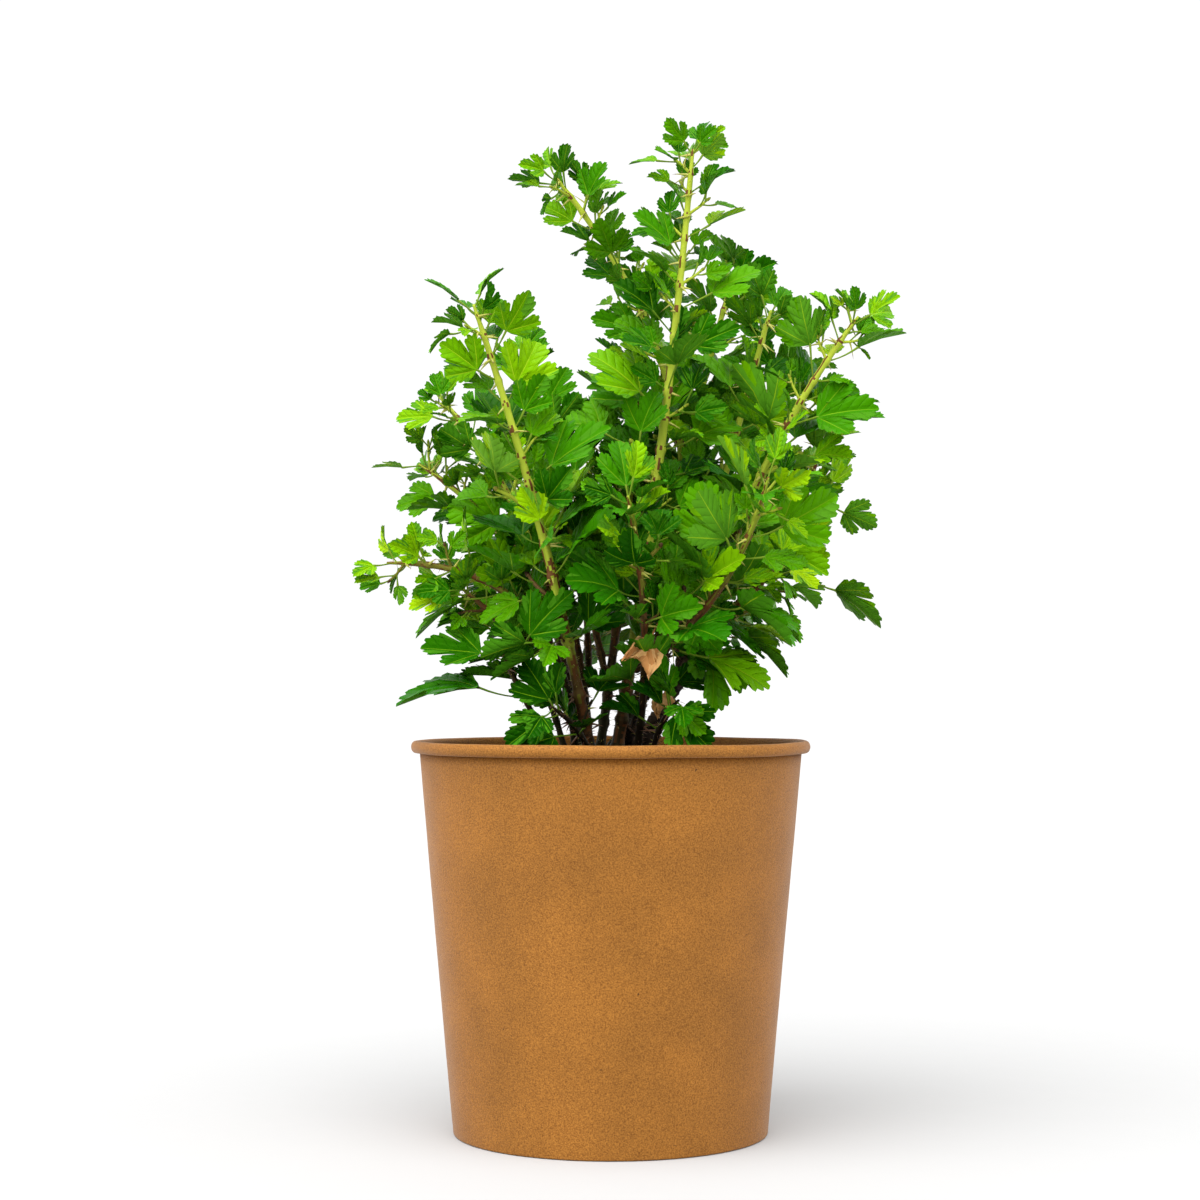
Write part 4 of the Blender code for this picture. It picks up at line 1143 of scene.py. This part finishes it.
class Wood:
    """Collects canes, twigs, stalks, spines and bark as they are drawn."""

    def __init__(self):
        self.canes, self.old, self.twigs, self.stalks, self.spines = (Sheaf() for _ in range(5))

    def add_cane(self, name, cane, foot, axis, nodes):
        """A cane from its foot to its tip, with a swelling at each node and bark that turns green."""
        dice = random.Random("cane " + name)

        def from_node(distance):
            return min((abs(distance - node) for node in nodes), default=1.0)

        def thickness(distance, spread):
            swelling = SWELLING * math.exp(-(from_node(distance) / SWELLING_REACH) ** 2)
            slim = min(1.0, TIP_SLIM + (axis.length - distance) / TIP_REACH)
            return radius_at(cane, axis, distance) * (1.0 + swelling + spread) * slim

        count = round(axis.length / CANE_STEP)
        points, radii, marks = limb_line(cane, foot, axis, axis.length, count, thickness)
        shift = dice.uniform(0.0, BARK_SHIFTS)
        greening = GREEN_ABOVE - BROWN_BELOW

        def bump(place, turn):
            round_it = Vector((math.cos(turn), math.sin(turn), 0.0)) * ROUGH_SCALE
            round_it.z = marks[place] * ROUGH_LENGTHS + 2.0 * shift
            brown = max(0.0, min(1.0, (GREEN_ABOVE - points[place].z) / greening))
            return noise.noise(round_it) * (ROUGH_BARK + ROUGHER_BROWN * brown)

        corners, faces = tube(points, radii, CANE_SIDES, bump)
        slots = []
        brown_below = BROWN_BELOW - (YOUNG_SHIFT if cane.radius > YOUNG_RADIUS else 0.0)
        for face in faces:
            place = min(face[0] // CANE_SIDES, len(points) - 1)
            turn = (face[0] % CANE_SIDES) * 2.0 * math.pi / CANE_SIDES
            round_it = Vector((math.cos(turn), math.sin(turn), 0.0)) * STREAK_SCALE
            streak, rust, specks = (
                noise.noise(round_it * scale + Vector((aside, 0.0, marks[place] * along + shift)))
                for scale, aside, along in (STREAKS, RUST_PATCHES, RUST_SPECKS)
            )
            rust += SPECKS_SHARE * specks
            up = (points[place].z - brown_below) / greening
            tone = BARK_TONE + BARK_RISE * up + BARK_STREAK * streak
            tone -= FOOT_DEPTH * math.exp((SOIL_TOP - points[place].z) / FOOT_DARK)
            scarred = from_node(marks[place]) < NODE_SCAR * (1.0 + streak) and rust > SCAR_LEVEL
            rusty = scarred or rust > RUST_LEVEL + RUST_FADE * max(0.0, up - RUST_FULL)
            slots.append(len(CANE_TONES) if rusty and up > RUST_START else pick(tone, len(CANE_TONES)))
        self.canes.add(corners, faces, slots)
        self.add_spines(dice, cane, axis, nodes)
        self.add_bristles(dice, cane, axis)

    def add_spines(self, dice, cane, axis, nodes):
        """One to three spines under each node."""
        for node in nodes:
            point, along = axis.at(node)
            radius = radius_at(cane, axis, node)
            start = dice.uniform(0.0, 2.0 * math.pi)
            for number in range(dice.choice(SPINE_COUNTS)):
                out = square_to(along, start + (number - 1) * SPINE_SPREAD)
                way = (out + along * dice.uniform(*SPINE_LEAN)).normalized()
                length = dice.uniform(*SPINE_LENGTH)
                foot = point - along * SPINE_DROP + out * radius * SPINE_ROOT
                form = length, SPINE_RADIUS, along * SPINE_BEND, SPINE_SIDES, SPINE_STEPS
                corners, faces, slots = spike(foot, way, *form)
                self.spines.add(corners, faces, slots if point.z > FRESH_ABOVE else DARK_SPINE)

    def add_bristles(self, dice, cane, axis):
        """The brown lower bark is set with fine bristles."""
        for _ in range(round(axis.length * BRISTLES_PER_METRE)):
            distance = dice.uniform(0.0, axis.length)
            point, along = axis.at(distance)
            if point.z > BRISTLES_END - BRISTLES_FADE * dice.random() ** 2:
                continue
            out = square_to(along, dice.uniform(0.0, 2.0 * math.pi))
            foot = point + out * radius_at(cane, axis, distance) * BRISTLE_ROOT
            way = (out + along * dice.uniform(*BRISTLE_LEAN)).normalized()
            length = dice.uniform(*BRISTLE_LENGTH)
            form = length, BRISTLE_RADIUS, along * BRISTLE_BEND, BRISTLE_SIDES, BRISTLE_STEPS
            corners, faces, _ = spike(foot, way, *form)
            self.spines.add(corners, faces, DARK_SPINE if dice.random() < DARK_BRISTLES else 0)

    def add_old(self, name, cane, foot, axis):
        """An old limb with ridged bark that comes off in flakes."""
        dice = random.Random("old " + name)

        def thickness(distance, spread):
            return radius_at(cane, axis, distance * OLD_TAPER) * (1.0 + spread)

        def bump(place, turn):
            round_it = Vector((math.cos(turn), math.sin(turn), place * OLD_STEP * OLD_LENGTHS))
            ridge = 1.0 - abs(noise.noise(round_it * OLD_RIDGES[1] + OLD_SHIFT)) * 2.0
            rough = OLD_ROUGH[0] * noise.noise(round_it * OLD_ROUGH[1])
            return OLD_RIDGES[0] * ridge * ridge - OLD_FURROW + rough

        count = round(axis.length / OLD_STEP)
        points, radii, _ = limb_line(cane, foot, axis, axis.length, count, thickness)
        corners, faces = tube(points, radii, OLD_SIDES, bump)
        spots = [noise.noise(Vector(corners[face[0]]) * OLD_SPOTS) for face in faces]
        self.old.add(corners, faces, [pick(OLD_TONE + OLD_SPOT * spot, OLD_TONES) for spot in spots])
        for _ in range(FLAKES):
            self.add_flake(dice, axis, cane.radius)

    def add_flake(self, dice, axis, radius):
        """A small curled plate of bark that stands off the limb at one end.

        It has two layers of three rows of three corners.
        """
        point, along = axis.at(dice.uniform(0.0, axis.length))
        start = dice.uniform(0.0, 2.0 * math.pi)
        wide, length = dice.uniform(*FLAKE_WIDTH), dice.uniform(*FLAKE_LENGTH)
        lifted = dice.uniform(0.0, FLAKE_LIFT)
        corners, faces = [], []
        for layer in (0.0, FLAKE_THICK):
            for row in range(3):
                reach = radius * FLAKE_REACH + layer + lifted * (row / 2) ** 2
                for column in range(3):
                    out = square_to(along, start + wide * (column - 1))
                    corners.append(point + out * reach + along * length * (row / 2 - 0.5))
        for a in (0, 1, 3, 4):
            faces += [(a, a + 4, a + 1), (a, a + 3, a + 4)]
            faces += [(a + 9, a + 10, a + 13), (a + 9, a + 13, a + 12)]
        rim = (0, 1, 2, 5, 8, 7, 6, 3)
        for first, second in zip(rim, rim[1:] + rim[:1]):
            faces += [(first, second, second + 9), (first, second + 9, first + 9)]
        self.old.add(corners, faces, dice.choice(FLAKE_SLOTS))

    def add_stalk(self, dice, leaf):
        """A leaf's stalk, which bows a little and widens into the blade."""
        length = (leaf.joint - leaf.foot).length
        sag = Vector((0.0, 0.0, dice.uniform(*STALK_SAG) * length))
        ahead = (leaf.joint - leaf.foot).normalized()
        aside = ahead.cross(Vector((0.0, 0.0, 1.0))) * dice.uniform(-STALK_ASIDE, STALK_ASIDE) * length
        points, radii = [], []
        for step in range(STALK_STEPS + 1):
            share = step / STALK_STEPS
            bow = 4.0 * share * (1.0 - share)
            points.append(leaf.foot.lerp(leaf.joint, share) + (sag + aside) * bow)
            radii.append(STALK_RADIUS - STALK_WAIST * math.sin(math.pi * share ** STALK_POWER))
        points.append(leaf.joint + leaf.along * leaf.length * STALK_INTO - leaf.up * STALK_UNDER)
        radii.append(STALK_END)
        self.stalks.add(*tube(points, radii, STALK_SIDES), int(leaf.tone > STALK_PALE))

    def add_twig(self, dice, foot, end, radius):
        """A side twig, a little crooked, with a bud at its tip."""
        reach = (end - foot).length
        side = (end - foot).orthogonal().normalized()
        points, radii = [], []
        for step in range(TWIG_STEPS + 1):
            share = step / TWIG_STEPS
            sway = math.sin(share * TWIG_CROOKS + dice.uniform(0.0, TWIG_CROOK_LOOSE))
            points.append(foot.lerp(end, share) + side * reach * TWIG_CROOK * sway * share)
            radii.append(radius * (TWIG_FOOT - TWIG_TAPER * share))
        tip = (end - foot).normalized()
        points += [points[-1] + tip * ahead for ahead, _ in TWIG_BUD]
        radii += [radius * size for _, size in TWIG_BUD]
        corners, faces = tube(points, radii, TWIG_SIDES)
        tone = TWIG_TONE + BARK_RISE * (foot.z - BROWN_BELOW) / (GREEN_ABOVE - BROWN_BELOW)
        tone = pick(tone + dice.uniform(-TWIG_LOOSE, TWIG_LOOSE), len(CANE_TONES))
        bud, bud_tone = (TWIG_STEPS + 1) * TWIG_SIDES, max(0, tone - BUD_DARKER)
        self.twigs.add(corners, faces, [bud_tone if min(face) >= bud else tone for face in faces])
        for _ in range(dice.choice(TWIG_SPINES)):
            place = foot.lerp(end, dice.uniform(*TWIG_SPINE_PLACE))
            way = side * dice.uniform(-1, 1) + side.cross(tip) * dice.uniform(-1, 1)
            way = (way + tip * TWIG_SPINE_LEAN).normalized()
            length, radius = dice.uniform(*SPINE_LENGTH), SPINE_RADIUS * TWIG_SPINE_SIZE
            self.spines.add(*spike(place, way, length, radius, tip * TWIG_SPINE_BEND))

    def make(self, stems):
        bark = coats("cane")
        self.canes.make("canes", bark, "bark", *stems)
        self.twigs.make("twigs", bark, "bark")
        self.old.make("old_wood", coats("old_bark"), "bark")
        self.stalks.make("stalks", coats("stalk"), "leaf")
        self.spines.make("spines", coats("spine"), "bark")


def make_foliage(mass, blades, leaf_coats, wood):
    """One mass: its leaves as one piece, and its stalks and twigs among the wood."""
    sheaf = Sheaf()
    first_under = len(LEAF_TONES) + len(VEIN_TONES)
    for number, leaf in enumerate(mass.leaves):
        dice = random.Random(f"{mass.name} blade {number}")
        blade = blades[dice.choice(SMALL_KINDS if leaf.length < SMALL_LEAF else LARGE_KINDS)]
        across = leaf.along.cross(leaf.up)
        points = blade.shaped(dice, leaf.length) @ np.array([across, leaf.along, leaf.up])
        tone = pick(leaf.tone, len(LEAF_TONES))
        vein = len(LEAF_TONES) + (tone > PALE_VEINS)
        under = first_under + min(len(UNDER_TONES) - 1, tone // UNDER_EVERY)
        slots = np.array([tone, vein, under, first_under - 1])[blade.slots]
        sheaf.add(points + np.array(leaf.joint), blade.faces, slots, blade.pattern)
        wood.add_stalk(dice, leaf)
    for number, (foot, end, radius) in enumerate(mass.twigs):
        wood.add_twig(random.Random(f"{mass.name} twig {number}"), foot, end, radius)
    sheaf.make("leaves_" + mass.name, leaf_coats, "leaf", "foliage_" + mass.name)


def make_dead_leaves(blade):
    """Two withered leaves, curled up, that still hang between the limbs."""
    sheaf = Sheaf()
    for number, (place, way, face, length) in enumerate(DEAD_LEAVES):
        joint, along, up = Vector(place), Vector(way).normalized(), Vector(face)
        up = (up - along * up.dot(along)).normalized()
        x, y, z = blade.points.T
        rolled, bend = DEAD_ROLL * x, DEAD_BEND * y
        x = np.sin(rolled) / DEAD_ROLL
        z = z * DEAD_RELIEF + (1.0 - np.cos(rolled)) / DEAD_ROLL
        y = np.sin(bend) / DEAD_BEND + z * np.sin(bend) * DEAD_TUCK
        z = z * np.cos(bend) + (1.0 - np.cos(bend)) / DEAD_BEND * DEAD_SLACK
        z += DEAD_WAVE * np.sin(DEAD_WAVES_ACROSS * x + DEAD_WAVES_ALONG * y + number)
        points = (np.stack([x, y, z], axis=1) * length) @ np.array([along.cross(up), along, up])
        slots = np.array([number % 2, 1, 2, 2])[blade.slots]
        sheaf.add(points + np.array(joint), blade.faces, slots)
        foot = joint + DEAD_STALK
        bow = [foot, foot.lerp(joint, 0.5) + DEAD_BOW, joint + along * DEAD_INTO]
        sheaf.add(*tube(bow, DEAD_STALK_RADII, STALK_SIDES), 0)
    sheaf.make("dead_leaves", coats("dead_leaf"), "leaf")


def make_floor():
    mesh = bpy.data.meshes.new("floor")
    half = FLOOR_SIZE / 2
    ends = ((-half, -half), (half, -half), (half, half), (-half, half))
    mesh.from_pydata([(x, y, -FLOOR_DROP) for x, y in ends], [], [(0, 1, 2, 3)])
    mesh.materials.append(coats("floor")[0])
    linked("floor", mesh)


def make_lights():
    world = bpy.data.worlds.new("studio")
    world.use_nodes = True
    world.node_tree.nodes["Background"].inputs["Color"].default_value = (*WHITE, 1.0)
    world.node_tree.nodes["Background"].inputs["Strength"].default_value = WORLD_LIGHT
    bpy.context.scene.world = world
    for name, way, wide, strength in SUNS:
        sun = bpy.data.lights.new(name, "SUN")
        sun.angle = math.radians(wide)
        sun.energy = strength
        made = linked(name, sun)
        made.rotation_mode = "QUATERNION"
        made.rotation_quaternion = Vector(way).to_track_quat("Z", "Y")


def make_camera():
    lens = bpy.data.cameras.new("camera")
    lens.lens = FOCAL_LENGTH
    eye = linked("camera", lens)
    eye.location = (0.0, -CAMERA_DISTANCE, CAMERA_HEIGHT)
    eye.rotation_euler = (CAMERA_TILT, 0.0, CAMERA_TURN)
    bpy.context.scene.camera = eye
    bpy.context.scene.view_settings.view_transform = "Standard"


def main():
    limbs = {**OLD_LIMBS, **CANES}
    feet, axes = lay_out(limbs)
    crowd = Crowd()
    for name, cane in limbs.items():
        crowd.add(*tube_shape(*bare_line(cane, feet[name], axes[name])))
    for name, cane in CANES.items():
        crowd.add(*tube_shape(*stem_line(cane, axes[name])))
    masses = [Mass(name, cane, axes[name], crowd) for name, cane in CANES.items()]
    for mass in masses:
        mass.grow()
    for mass in masses:
        mass.fill()

    blades = [Blade(*kind) for kind in BLADE_KINDS]
    tops, veins, unders = coats("leaf"), coats("vein"), coats("under")
    for made in tops + unders:
        add_side_veins(made)
    wood = Wood()
    for mass in masses:
        cane, axis = mass.cane, axes[mass.name]
        begin = axis.length * cane.bare
        scars = list(np.arange(SCAR_STEP / 2, begin - SCAR_STEP / 2, SCAR_STEP))
        nodes = scars + [begin + site.share * mass.length for site in mass.nodes]
        wood.add_cane(mass.name, cane, feet[mass.name], axis, nodes)
        make_foliage(mass, blades, tops + veins + unders, wood)
    for name, cane in OLD_LIMBS.items():
        wood.add_old(name, cane, feet[name], axes[name])
    wood.make(["stem_" + name for name in limbs])
    make_dead_leaves(blades[0])
    make_pot()
    make_soil()
    make_floor()
    make_lights()
    make_camera()


main()
